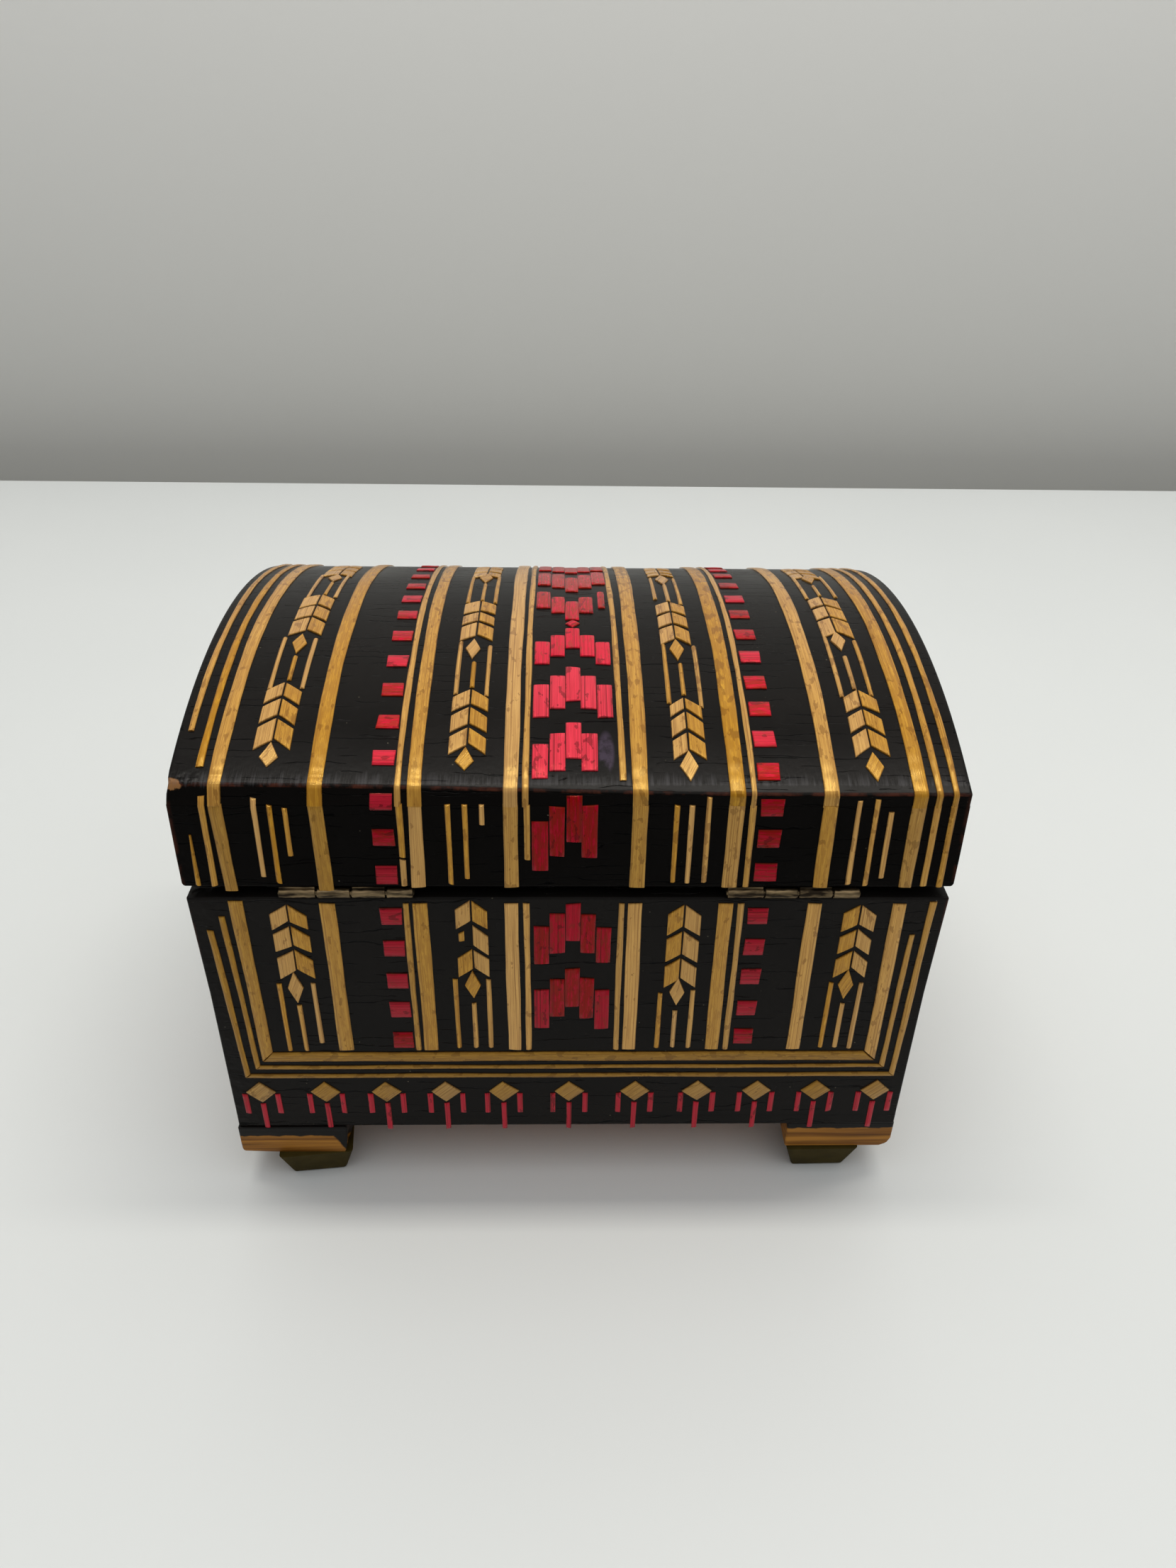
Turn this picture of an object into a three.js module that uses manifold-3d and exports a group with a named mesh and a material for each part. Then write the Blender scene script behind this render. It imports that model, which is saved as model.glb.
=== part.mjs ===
// A small lacquered jewelry box: four walls on a thin bottom board, four block feet on tapered
// rubber pads, and an arched lid on two brass butt hinges. The box and its lid are hollow.
// +Z is up, +X runs along the box, the lid opens at the -Y side and is hinged at the +Y side.
// The origin is on the table, under the middle of the whole box. Lengths are in millimetres.
import * as THREE from 'three';
import { mergeVertices } from 'three/addons/utils/BufferGeometryUtils.js';
import Module from 'manifold-3d';

const wasm = await Module();
wasm.setup();

// Base box
const boxLength = 150;
const boxDepth = 110;
const wallHeight = 62.9;
const wallThickness = 5;
const boardThickness = 3;

// Block feet and the pads under them
const footSide = 24.5;
const footHeight = 8;
const footInset = 0.3;
const footRounding = 1.6;
const padTopSide = 16.7;
const padBottomSide = 11.9;
const padHeight = 8.5;
const padFromEnd = 16.1;
const padFromFace = 8.5;
// The pads were stuck on by hand, so each is turned a little
const padTurnDegrees = { frontLeft: -1.5, frontRight: 2, backLeft: 1, backRight: 6 };

// Lid: two rails, two arched ends and a bent top panel
const lidOverhang = 0.2;
const lidGap = 2.8;
const shoulderHeight = 20.6;
const domeRise = 12.1;
const railThickness = 5;
const railLean = 1;
const panelThickness = 4;
const foldWidth = 2.2;

// Hinges
const hingeFromEnd = 31.3;
const knuckleLengths = [5.1, 6.5, 6.4, 7.1];
const knuckleGap = 0.3;
const barrelDiameter = 2;
const leafThickness = 0.8;
const leafDepth = 4.6;
const pinDiameter = 0.9;
const pinClearance = 0.06;
const pinProud = 0.2;

// Room left between two pieces that are glued or laid on each other
const glueLine = 0.05;

// Smoothness of the round shapes
const domeSteps = 28;
const foldSteps = 5;
const cornerSteps = 4;
const barrelSides = 20;

// Heights, from the table up
const footBottom = padHeight;
const boardBottom = footBottom + footHeight;
const boardTop = boardBottom + boardThickness;
const rim = boardTop + wallHeight;
const lidBottom = rim + lidGap;
const shoulder = lidBottom + shoulderHeight;
const apex = shoulder + domeRise;

// Half sizes in plan
const halfLength = boxLength / 2;
const halfDepth = boxDepth / 2;
const lidHalfLength = halfLength + lidOverhang;
const lidHalfDepth = halfDepth + lidOverhang;

// The arch is a circle through both shoulders and the apex
const domeRadius = (lidHalfDepth ** 2 + domeRise ** 2) / (2 * domeRise);
const domeCentre = apex - domeRadius;
const archAt = (y, radius) => domeCentre + Math.sqrt(radius ** 2 - y ** 2);
const innerRadius = domeRadius - panelThickness;
const railTop = archAt(lidHalfDepth - railThickness, innerRadius);

// The hinge pins lie in line with the lid's back face, halfway up the gap
const barrelRadius = barrelDiameter / 2;
const pinY = lidHalfDepth;
const pinZ = rim + lidGap / 2;
const hingeLength = knuckleLengths.reduce((sum, length) => sum + length)
  + knuckleGap * (knuckleLengths.length - 1);

const lacquer = new THREE.MeshStandardMaterial({ color: 0x211d1a, roughness: 0.42, metalness: 0 });
const stainedWood = new THREE.MeshStandardMaterial({ color: 0x5a3a20, roughness: 0.6, metalness: 0 });
const footWood = new THREE.MeshStandardMaterial({ color: 0xb4833c, roughness: 0.5, metalness: 0 });
const rubber = new THREE.MeshStandardMaterial({ color: 0x575a4c, roughness: 0.8, metalness: 0 });
const brass = new THREE.MeshStandardMaterial({ color: 0xa98544, roughness: 0.4, metalness: 1 });

// Everything hangs in one group that centres the box and its proud hinge barrels on the origin
const box = new THREE.Group();
const barrelProud = pinY + barrelRadius - lidHalfDepth;
box.position.y = -barrelProud / 2;

function add(name, geometry, material) {
  const mesh = new THREE.Mesh(geometry, material);
  mesh.name = name;
  box.add(mesh);
  return mesh;
}

// A rectangular block between two opposite corners
function block(x0, x1, y0, y1, z0, z1) {
  const geometry = new THREE.BoxGeometry(x1 - x0, y1 - y0, z1 - z0);
  return geometry.translate((x0 + x1) / 2, (y0 + y1) / 2, (z0 + z1) / 2);
}

// A (y, z) outline drawn out along X from x0 to x1
function alongX(points, x0, x1) {
  const shape = new THREE.Shape(points.map(([y, z]) => new THREE.Vector2(y, z)));
  const geometry = new THREE.ExtrudeGeometry(shape, { depth: x1 - x0, bevelEnabled: false });
  const turn = new THREE.Matrix4().set(0, 0, 1, x0, 1, 0, 0, 0, 0, 1, 0, 0, 0, 0, 0, 1);
  return geometry.applyMatrix4(turn);
}

// A cylinder along X, centred at x
function rod(x, length, radius) {
  const geometry = new THREE.CylinderGeometry(radius, radius, length, barrelSides);
  return geometry.rotateZ(Math.PI / 2).translate(x, pinY, pinZ);
}

function toSolid(geometry) {
  const bare = geometry.clone();
  bare.deleteAttribute('normal');
  bare.deleteAttribute('uv');
  const merged = mergeVertices(bare);
  return new wasm.Manifold(new wasm.Mesh({
    numProp: 3,
    vertProperties: new Float32Array(merged.attributes.position.array),
    triVerts: new Uint32Array(merged.index.array),
  }));
}

function toGeometry(solid) {
  const mesh = solid.getMesh();
  const geometry = new THREE.BufferGeometry();
  geometry.setAttribute('position', new THREE.BufferAttribute(mesh.vertProperties, 3));
  geometry.setIndex(new THREE.BufferAttribute(mesh.triVerts, 1));
  geometry.computeVertexNormals();
  return geometry;
}

// Bottom board, and the walls that stand on it. The long walls cover the ends of the short ones.
const wallBottom = boardTop + glueLine;
const innerHalfLength = halfLength - wallThickness;
const innerHalfDepth = halfDepth - wallThickness;
const sideReach = innerHalfDepth - glueLine;
add('bottom_board', block(-halfLength, halfLength, -halfDepth, halfDepth, boardBottom, boardTop), stainedWood);
add('back_wall', block(-halfLength, halfLength, innerHalfDepth, halfDepth, wallBottom, rim), lacquer);
add('front_wall', block(-halfLength, halfLength, -halfDepth, -innerHalfDepth, wallBottom, rim), lacquer);
add('left_wall', block(-halfLength, -innerHalfLength, -sideReach, sideReach, wallBottom, rim), lacquer);
add('right_wall', block(innerHalfLength, halfLength, -sideReach, sideReach, wallBottom, rim), lacquer);

// A foot is a square block whose two lower edges are rounded, under one corner of the board
function footGeometry() {
  const half = footSide / 2;
  const top = boardBottom - glueLine;
  const points = [[-half, top], [half, top]];
  for (const side of [1, -1]) {
    for (let step = 0; step <= cornerSteps; step++) {
      const share = side > 0 ? step : cornerSteps - step;
      const angle = (share / cornerSteps) * Math.PI / 2;
      const x = half - footRounding + footRounding * Math.cos(angle);
      const z = footBottom + footRounding - footRounding * Math.sin(angle);
      points.push([side * x, z]);
    }
  }
  const shape = new THREE.Shape(points.reverse().map(([x, z]) => new THREE.Vector2(x, z)));
  const geometry = new THREE.ExtrudeGeometry(shape, { depth: footSide, bevelEnabled: false });
  return geometry.rotateX(Math.PI / 2).translate(0, half, 0);
}

// A pad is a square frustum, wide side up
function padGeometry() {
  const top = padTopSide / Math.SQRT2;
  const bottom = padBottomSide / Math.SQRT2;
  const geometry = new THREE.CylinderGeometry(top, bottom, padHeight - glueLine, 4);
  return geometry.rotateY(Math.PI / 4).rotateX(Math.PI / 2).translate(0, 0, (padHeight - glueLine) / 2);
}

const corners = [
  { name: 'front_left', x: -1, y: -1, turn: padTurnDegrees.frontLeft },
  { name: 'front_right', x: 1, y: -1, turn: padTurnDegrees.frontRight },
  { name: 'back_left', x: -1, y: 1, turn: padTurnDegrees.backLeft },
  { name: 'back_right', x: 1, y: 1, turn: padTurnDegrees.backRight },
];
for (const corner of corners) {
  const foot = add(`foot_${corner.name}`, footGeometry(), footWood);
  const footReach = footInset + footSide / 2;
  foot.position.set(corner.x * (halfLength - footReach), corner.y * (halfDepth - footReach), 0);
  const pad = add(`pad_${corner.name}`, padGeometry(), rubber);
  pad.position.set(corner.x * (halfLength - padFromEnd), corner.y * (halfDepth - padFromFace), 0);
  pad.rotation.z = THREE.MathUtils.degToRad(corner.turn);
}

// Half of the lid's outer outline, from the rail's top over the fold to the apex, for y of one sign
function panelHalf() {
  const start = new THREE.Vector2(lidHalfDepth - railLean, railTop);
  const foldTop = lidHalfDepth - foldWidth;
  const end = new THREE.Vector2(foldTop, archAt(foldTop, domeRadius));
  const knee = new THREE.Vector2(start.x, archAt(start.x, domeRadius));
  const points = new THREE.QuadraticBezierCurve(start, knee, end).getPoints(foldSteps);
  const halfSteps = domeSteps / 2;
  for (let step = 1; step <= halfSteps; step++) {
    const y = foldTop * (1 - step / halfSteps);
    points.push(new THREE.Vector2(y, archAt(y, domeRadius)));
  }
  return points.map((point) => [point.x, point.y]);
}

// Points along an arch below the panel, from y = reach to y = -reach
function archPoints(reach, radius) {
  const points = [];
  for (let step = 0; step <= domeSteps; step++) {
    const y = reach * (1 - 2 * step / domeSteps);
    points.push([y, archAt(y, radius)]);
  }
  return points;
}

const outerHalf = panelHalf();
const mirroredHalf = outerHalf.slice(0, -1).reverse().map(([y, z]) => [-y, z]);
const lidInnerDepth = lidHalfDepth - railThickness;
const panelOutline = [...outerHalf, ...mirroredHalf, ...archPoints(lidInnerDepth, innerRadius).reverse()];
add('lid_top_panel', alongX(panelOutline, -lidHalfLength, lidHalfLength), lacquer);

// The rails lean in towards the fold, and the arched ends stand between them
for (const [name, side] of [['lid_back_rail', 1], ['lid_front_rail', -1]]) {
  const top = railTop - glueLine;
  const outline = [
    [side * lidHalfDepth, lidBottom],
    [side * (lidHalfDepth - railLean), top],
    [side * lidInnerDepth, top],
    [side * lidInnerDepth, lidBottom],
  ];
  add(name, alongX(side > 0 ? outline : outline.reverse(), -lidHalfLength, lidHalfLength), lacquer);
}
const endReach = lidInnerDepth - glueLine;
const endOutline = [[-endReach, lidBottom], [endReach, lidBottom], ...archPoints(endReach, innerRadius - glueLine)];
add('lid_left_end', alongX(endOutline, -lidHalfLength, railThickness - lidHalfLength), lacquer);
add('lid_right_end', alongX(endOutline, lidHalfLength - railThickness, lidHalfLength), lacquer);

// Where each knuckle of a hinge starts and ends, measured from the hinge's own middle
const knuckles = [];
let reached = -hingeLength / 2;
for (const length of knuckleLengths) {
  knuckles.push([reached, reached + length]);
  reached += length + knuckleGap;
}

// A leaf is a thin plate with every second knuckle. It is cut back around the other leaf's knuckles.
function leafGeometry(middle, first, z0, z1) {
  const bar = barrelRadius + knuckleGap;
  const plate = block(middle - hingeLength / 2, middle + hingeLength / 2, halfDepth - leafDepth, pinY, z0, z1);
  let solid = toSolid(plate);
  knuckles.forEach(([start, end], index) => {
    const length = end - start;
    const x = middle + (start + end) / 2;
    if (index % 2 === first) {
      solid = solid.add(toSolid(rod(x, length, barrelRadius)));
    } else {
      const reach = length / 2 + knuckleGap;
      solid = solid.subtract(toSolid(block(x - reach, x + reach, pinY - bar, pinY + bar, pinZ - bar, pinZ + bar)));
    }
  });
  const bore = rod(middle, hingeLength + 2, pinDiameter / 2 + pinClearance);
  return toGeometry(solid.subtract(toSolid(bore)));
}

for (const [side, sign] of [['left', -1], ['right', 1]]) {
  const middle = sign * (halfLength - hingeFromEnd);
  const baseTop = rim + glueLine + leafThickness;
  add(`hinge_${side}_base_leaf`, leafGeometry(middle, 0, rim + glueLine, baseTop), brass);
  const lidTop = lidBottom - glueLine;
  add(`hinge_${side}_lid_leaf`, leafGeometry(middle, 1, lidTop - leafThickness, lidTop), brass);
  add(`hinge_${side}_pin`, rod(middle, hingeLength + 2 * pinProud, pinDiameter / 2), brass);
}

const jewelryBox = new THREE.Group();
jewelryBox.add(box);

export default jewelryBox;
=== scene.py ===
"""A small dome-lidded jewelry box of black lacquered wood, covered with split golden and red straw.

It is seen from behind and above, closed, with its two brass hinges towards the camera. Lengths in
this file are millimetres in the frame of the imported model. Inside the finishes' nodes they are metres.
"""
import math

import bpy
import numpy as np
from mathutils import Matrix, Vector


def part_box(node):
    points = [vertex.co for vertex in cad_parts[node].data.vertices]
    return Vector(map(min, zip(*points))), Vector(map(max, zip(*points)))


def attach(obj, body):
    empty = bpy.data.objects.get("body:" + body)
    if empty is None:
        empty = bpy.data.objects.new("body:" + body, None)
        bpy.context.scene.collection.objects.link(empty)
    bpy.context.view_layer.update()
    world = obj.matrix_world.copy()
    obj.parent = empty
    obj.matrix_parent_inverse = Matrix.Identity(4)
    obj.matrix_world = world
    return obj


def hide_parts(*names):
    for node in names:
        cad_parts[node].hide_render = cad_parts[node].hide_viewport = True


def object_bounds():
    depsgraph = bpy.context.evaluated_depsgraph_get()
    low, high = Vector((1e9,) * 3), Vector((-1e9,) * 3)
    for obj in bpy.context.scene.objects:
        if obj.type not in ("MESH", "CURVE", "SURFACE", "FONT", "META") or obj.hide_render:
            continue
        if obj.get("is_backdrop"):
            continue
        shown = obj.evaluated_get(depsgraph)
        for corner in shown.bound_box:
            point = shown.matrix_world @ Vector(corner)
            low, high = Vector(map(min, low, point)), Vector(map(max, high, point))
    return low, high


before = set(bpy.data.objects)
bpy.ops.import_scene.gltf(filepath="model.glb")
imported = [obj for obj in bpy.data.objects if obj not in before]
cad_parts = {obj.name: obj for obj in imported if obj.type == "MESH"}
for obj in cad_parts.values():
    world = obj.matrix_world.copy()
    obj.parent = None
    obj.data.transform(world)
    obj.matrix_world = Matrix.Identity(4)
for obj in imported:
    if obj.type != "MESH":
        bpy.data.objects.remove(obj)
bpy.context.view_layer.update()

# The camera. It stands close behind the box and above it, and looks down at the hinges, as a
# phone held over a table does. Its place and tilt come from the box's own corners in the photograph.
camera_at = np.array([2.16, 231.28, 223.98])
camera_pitch, camera_yaw, camera_roll = np.radians([33.014, 1.662, -1.057])
camera_lens = 26.365
sensor_side = 36.0

ahead = np.array([
    -math.sin(camera_yaw) * math.cos(camera_pitch),
    -math.cos(camera_yaw) * math.cos(camera_pitch),
    -math.sin(camera_pitch),
])
level = np.array([-math.cos(camera_yaw), math.sin(camera_yaw), 0.0])
downward = np.cross(ahead, level)
rightward = math.cos(camera_roll) * level + math.sin(camera_roll) * downward
picture_down = math.cos(camera_roll) * downward - math.sin(camera_roll) * level
camera_data = bpy.data.cameras.new("camera")
camera_data.sensor_width = sensor_side
camera_data.lens = camera_lens
camera_data.clip_start = 0.01
camera = bpy.data.objects.new("camera", camera_data)
bpy.context.scene.collection.objects.link(camera)
turned = np.eye(4)
turned[:3, 0] = rightward
turned[:3, 1] = -picture_down
turned[:3, 2] = -ahead
turned[:3, 3] = camera_at / 1000
camera.matrix_world = Matrix(turned.tolist())
bpy.context.scene.camera = camera


# The room: a pale matt table top, and a plain grey wall some way behind it. The table's far edge
# is softly rounded, so that its line against the wall isn't a hard one.
table_half, table_edge, edge_radius = 1500.0, -438.0, 9.0
wall_half, wall_top, wall_gap = 2500.0, 1500.0, 60.0
ground = -400.0
crisp_angle = math.radians(38)
table_white = "e3e6e6"
wall_grey, wall_painted_shade_grey = "efefed", "bfbfbb"


def linear(code):
    """An sRGB hex colour as linear light: a channel up to 0.04045 is divided by 12.92, and a higher
    one follows the power curve of the sRGB standard."""
    srgb = np.array([int(code[i:i + 2], 16) for i in (0, 2, 4)]) / 255
    light = np.where(srgb <= 0.04045, srgb / 12.92, ((srgb + 0.055) / 1.055) ** 2.4)
    return (*light.tolist(), 1.0)


def plug(node, sockets):
    """Gives each socket of a node its value, its sRGB hex colour or its link. A node that is given
    stands for its first output in use."""
    for name, value in sockets.items():
        if isinstance(value, bpy.types.Node):
            value = next(output for output in value.outputs if output.enabled)
        if isinstance(value, bpy.types.NodeSocket):
            node.id_data.links.new(value, node.inputs[name])
        else:
            node.inputs[name].default_value = linear(value) if isinstance(value, str) else value


def add(finish, kind, sockets=None, **settings):
    """Adds one shader node to a finish, with its settings and with its sockets plugged."""
    node = finish.node_tree.nodes.new("ShaderNode" + kind)
    for name, value in settings.items():
        setattr(node, name, value)
    plug(node, sockets or {})
    return node


def new_finish(name):
    """An empty finish, and its surface shader."""
    finish = bpy.data.materials.new(name)
    finish.use_nodes = True
    return finish, finish.node_tree.nodes["Principled BSDF"]


def mesh_of(name, points, faces, finishes):
    """A smooth-shaded object at the origin, from points in millimetres. Sharper edges than the crisp
    angle stay crisp."""
    mesh = bpy.data.meshes.new(name)
    mesh.from_pydata((np.asarray(points) / 1000).tolist(), [], faces)
    mesh.polygons.foreach_set("use_smooth", np.ones(len(faces), bool))
    mesh.set_sharp_from_angle(angle=crisp_angle)
    for finish in finishes:
        mesh.materials.append(finish)
    piece = bpy.data.objects.new(name, mesh)
    bpy.context.scene.collection.objects.link(piece)
    return piece


def grid_faces(rows, columns):
    """The quads of a grid of rows x columns points, stored row by row."""
    corner = np.arange(rows - 1)[:, None] * columns + np.arange(columns - 1)
    corner = corner.ravel()
    return np.stack([corner, corner + 1, corner + columns + 1, corner + columns], 1).tolist()


# painted MDF: an even, nearly matt white with the faintest cloudiness
table_paint, shader = new_finish("table_white_paint")
place = add(table_paint, "TexCoord").outputs["Object"]
cloud = add(table_paint, "TexNoise", {"Vector": place, "Scale": 6.0, "Detail": 2.0})
tint = add(table_paint, "Mix", {0: cloud, 6: table_white, 7: "dce0e0"}, data_type="RGBA")
plug(shader, {"Base Color": tint, "Roughness": 0.55})

# painted shade: the wall paint is darker close to the table's edge, as a wall is in a dim corner, and
# lighter higher up
wall_paint, shader = new_finish("wall_grey_paint")
place = add(wall_paint, "TexCoord").outputs["Object"]
height = add(wall_paint, "SeparateXYZ", {0: place}).outputs["Z"]
rise = add(wall_paint, "MapRange", {
    "Value": height, "From Min": -0.1, "From Max": 0.55}, interpolation_type="SMOOTHSTEP")
tint = add(wall_paint, "Mix", {0: rise, 6: wall_painted_shade_grey, 7: wall_grey}, data_type="RGBA")
plug(shader, {"Base Color": tint, "Roughness": 0.8})

# The table is a profile across Y carried along X: flat, then a quarter round, then down.
turn = np.linspace(0, math.pi / 2, 9)
table_y = np.concatenate([
    [table_half], table_edge - edge_radius * np.sin(turn), [table_edge - edge_radius]])
table_z = np.concatenate([[0.0], edge_radius * (np.cos(turn) - 1), [ground]])
along = np.array([-table_half, table_half])
points = np.stack([
    np.repeat(along[:, None], len(table_y), 1),
    np.repeat(table_y[None], 2, 0),
    np.repeat(table_z[None], 2, 0),
], -1).reshape(-1, 3)
table = mesh_of("table", points, grid_faces(2, len(table_y)), [table_paint])
wall_points = [[x, table_edge - wall_gap, z] for x, z in (
    (-wall_half, ground), (wall_half, ground), (wall_half, wall_top), (-wall_half, wall_top))]
room_wall = mesh_of("room_wall", wall_points, [[3, 2, 1, 0]], [wall_paint])
table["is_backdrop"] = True
room_wall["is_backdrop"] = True


# The light: a narrow bright panel on the ceiling nearly overhead, which the fold and the straw
# mirror, a wide pale one on the camera's side, and the even light that the room's walls give back.
lamps = (
    ("ceiling_panel", (-60.0, -75.0, 1180.0), (1.0, 0.09), 5.4, "fffaf0"),
    ("pale_ceiling", (-300.0, 330.0, 1480.0), (2.3, 2.0), 10.8, "fdfcfa"),
)
room_strength = 0.51

for name, place, size, watts, colour in lamps:
    lamp_data = bpy.data.lights.new(name, "AREA")
    lamp_data.shape = "RECTANGLE"
    lamp_data.size, lamp_data.size_y = size
    lamp_data.energy = watts
    lamp_data.color = linear(colour)[:3]
    lamp = bpy.data.objects.new(name, lamp_data)
    lamp.location = np.array(place) / 1000
    bpy.context.scene.collection.objects.link(lamp)
room = bpy.data.worlds.new("room")
room.use_nodes = True
plug(room.node_tree.nodes["Background"], {"Color": "dfe0e2", "Strength": room_strength})
bpy.context.scene.world = room
bpy.context.scene.view_settings.view_transform = "Standard"


# The four walls: 5 mm softwood boards, glued edge to edge, stained and coated with black spirit
# lacquer that has crazed with age. The long walls cover the ends of the short ones.
wall_names = ("back_wall", "front_wall", "left_wall", "right_wall")
edge_softness, joint_softness = 0.45, 0.0
board_step = 6.0
end_wear, wear_height, wear_from, wear_over = 0.55, 25.0, 69.0, 3.0
crack_gaps, crack_width = (2.3, 5.3), 0.2
lacquer_black, lacquer_brown, crack_black = "100f0e", "1b1816", "020202"

lacquer, shader = new_finish("black_spirit_lacquer_crazed")
place = add(lacquer, "TexCoord").outputs["Object"]
axes = add(lacquer, "SeparateXYZ", {0: place})
out_x = add(lacquer, "Math", {0: axes.outputs["X"]}, operation="ABSOLUTE")
out_y = add(lacquer, "Math", {0: axes.outputs["Y"], 1: 0.0005}, operation="ADD")
out_y = add(lacquer, "Math", {0: out_y}, operation="ABSOLUTE")
# crazing: hair cracks along the boards at even steps down the lid and the walls, bent by a slow
# noise, and open only in patches; a crack is drawn 0.2 mm wide so that it shows
on_end = add(lacquer, "Math", {0: out_x, 1: 0.0743}, operation="LESS_THAN")
off_end = add(lacquer, "Math", {0: 1.0, 1: on_end}, operation="SUBTRACT")
along = add(lacquer, "Math", {0: axes.outputs["X"], 1: on_end}, operation="MULTIPLY")
along = add(lacquer, "Math", {0: axes.outputs["Y"], 1: off_end, 2: along}, operation="MULTIPLY_ADD")
down = add(lacquer, "Math", {0: out_y, 1: on_end}, operation="MULTIPLY")
down = add(lacquer, "Math", {0: down, 1: axes.outputs["Z"]}, operation="SUBTRACT")
laid = add(lacquer, "CombineXYZ", {0: along, 1: down, 2: off_end})
cracks = None
for gap, sway, long_patch, least in ((crack_gaps[0], 1.9, 70.0, 0.53), (crack_gaps[1], 0.9, 34.0, 0.52)):
    warp = add(lacquer, "Mapping", {
        "Vector": laid, "Location": (gap, gap, gap), "Scale": (75.0, 190.0, 1.0)})
    warp = add(lacquer, "TexNoise", {"Vector": warp, "Scale": 1.0, "Detail": 3.0})
    warp = add(lacquer, "Math", {0: warp, 1: sway}, operation="MULTIPLY")
    split = add(lacquer, "Math", {0: down, 1: 1000 / gap, 2: warp}, operation="MULTIPLY_ADD")
    split = add(lacquer, "Math", {0: split}, operation="FRACT")
    split = add(lacquer, "Math", {0: split, 1: 0.5}, operation="SUBTRACT")
    split = add(lacquer, "Math", {0: split}, operation="ABSOLUTE")
    split = add(lacquer, "MapRange", {
        "Value": split, "From Min": crack_width / 4 / gap, "From Max": crack_width / 1.4 / gap,
        "To Min": 1.0, "To Max": 0.0,
    })
    patch = add(lacquer, "Mapping", {"Vector": laid, "Scale": (long_patch, 330.0, 1.0)})
    patch = add(lacquer, "TexNoise", {"Vector": patch, "Scale": 1.0, "Detail": 2.0})
    patch = add(lacquer, "MapRange", {"Value": patch, "From Min": least, "From Max": least + 0.05})
    split = add(lacquer, "Math", {0: split, 1: patch}, operation="MULTIPLY")
    cracks = split if cracks is None else add(
        lacquer, "Math", {0: cracks, 1: split}, operation="MAXIMUM")
cloud = add(lacquer, "TexNoise", {"Vector": place, "Scale": 70.0, "Detail": 4.0})
tint = add(lacquer, "Mix", {
    0: cloud, 6: lacquer_black, 7: lacquer_brown}, data_type="RGBA", name="blacks")
tint = add(lacquer, "Mix", {0: cracks, 6: tint, 7: crack_black}, data_type="RGBA")
# dust: pale specks of a quarter of a millimetre, lodged in loose clusters
speck = add(lacquer, "TexVoronoi", {"Vector": place, "Scale": 520.0}, feature="F1")
speck = add(lacquer, "MapRange", {
    "Value": speck, "From Min": 0.04, "From Max": 0.09, "To Min": 1.0, "To Max": 0.0})
where = add(lacquer, "TexNoise", {"Vector": place, "Scale": 300.0, "Detail": 1.0})
where = add(lacquer, "MapRange", {
    "Value": where, "From Min": 0.60, "From Max": 0.66, "To Min": 0.0, "To Max": 0.55})
speck = add(lacquer, "Math", {0: speck, 1: where}, operation="MULTIPLY")
tint = add(lacquer, "Mix", {0: speck, 6: tint, 7: "857d6a"}, data_type="RGBA")
# wear: how far out X and Y are, so that corners and the fold can be rubbed through to brown wood
near_end = add(lacquer, "MapRange", {"Value": out_x, "From Min": 0.0742, "From Max": 0.0749})
near_side = add(lacquer, "MapRange", {"Value": out_y, "From Min": 0.0536, "From Max": 0.0547})
corner = add(lacquer, "Math", {0: near_end, 1: near_side}, operation="MULTIPLY")
fold = add(lacquer, "Attribute", attribute_name="fold").outputs["Fac"]
worn = add(lacquer, "Math", {0: corner, 1: fold}, operation="MAXIMUM")
rub = add(lacquer, "TexNoise", {"Vector": place, "Scale": 230.0, "Detail": 5.0, "Roughness": 0.65})
rub = add(lacquer, "MapRange", {"Value": rub, "From Min": 0.42, "From Max": 0.56, "To Max": 0.9})
worn = add(lacquer, "Math", {0: worn, 1: rub}, operation="MULTIPLY")
tint = add(lacquer, "Mix", {0: worn, 6: tint, 7: "44241a"}, data_type="RGBA")
# the chipped corner of the fold shows tan wood, and old glue lies where a red bar has come off
chip_edge = add(lacquer, "Math", {0: rub, 1: -0.0012}, operation="MULTIPLY")
chip = add(lacquer, "VectorMath", {0: place, 1: (0.0750, 0.0518, 0.1068)}, operation="SUBTRACT")
chip = add(lacquer, "VectorMath", {0: chip, 1: (1.0, 1.5, 2.2)}, operation="MULTIPLY")
chip = add(lacquer, "VectorMath", {0: chip}, operation="LENGTH")
chip = add(lacquer, "Math", {0: chip, 1: chip_edge}, operation="ADD")
chip = add(lacquer, "MapRange", {
    "Value": chip, "From Min": 0.0014, "From Max": 0.0018, "To Min": 0.8, "To Max": 0.0})
tint = add(lacquer, "Mix", {0: chip, 6: tint, 7: "946a42"}, data_type="RGBA")
residue = add(lacquer, "VectorMath", {0: place, 1: (0.0066, -0.0446, -0.1094)}, operation="ADD")
residue = add(lacquer, "VectorMath", {0: residue, 1: (620.0, 190.0, 190.0)}, operation="MULTIPLY")
residue = add(lacquer, "VectorMath", {0: residue}, operation="LENGTH")
residue = add(lacquer, "MapRange", {
    "Value": residue, "From Min": 0.75, "From Max": 1.1, "To Min": 0.40, "To Max": 0.0})
residue = add(lacquer, "Math", {0: residue, 1: rub}, operation="MULTIPLY")
tint = add(lacquer, "Mix", {0: residue, 6: tint, 7: "65566c"}, data_type="RGBA")
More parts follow.
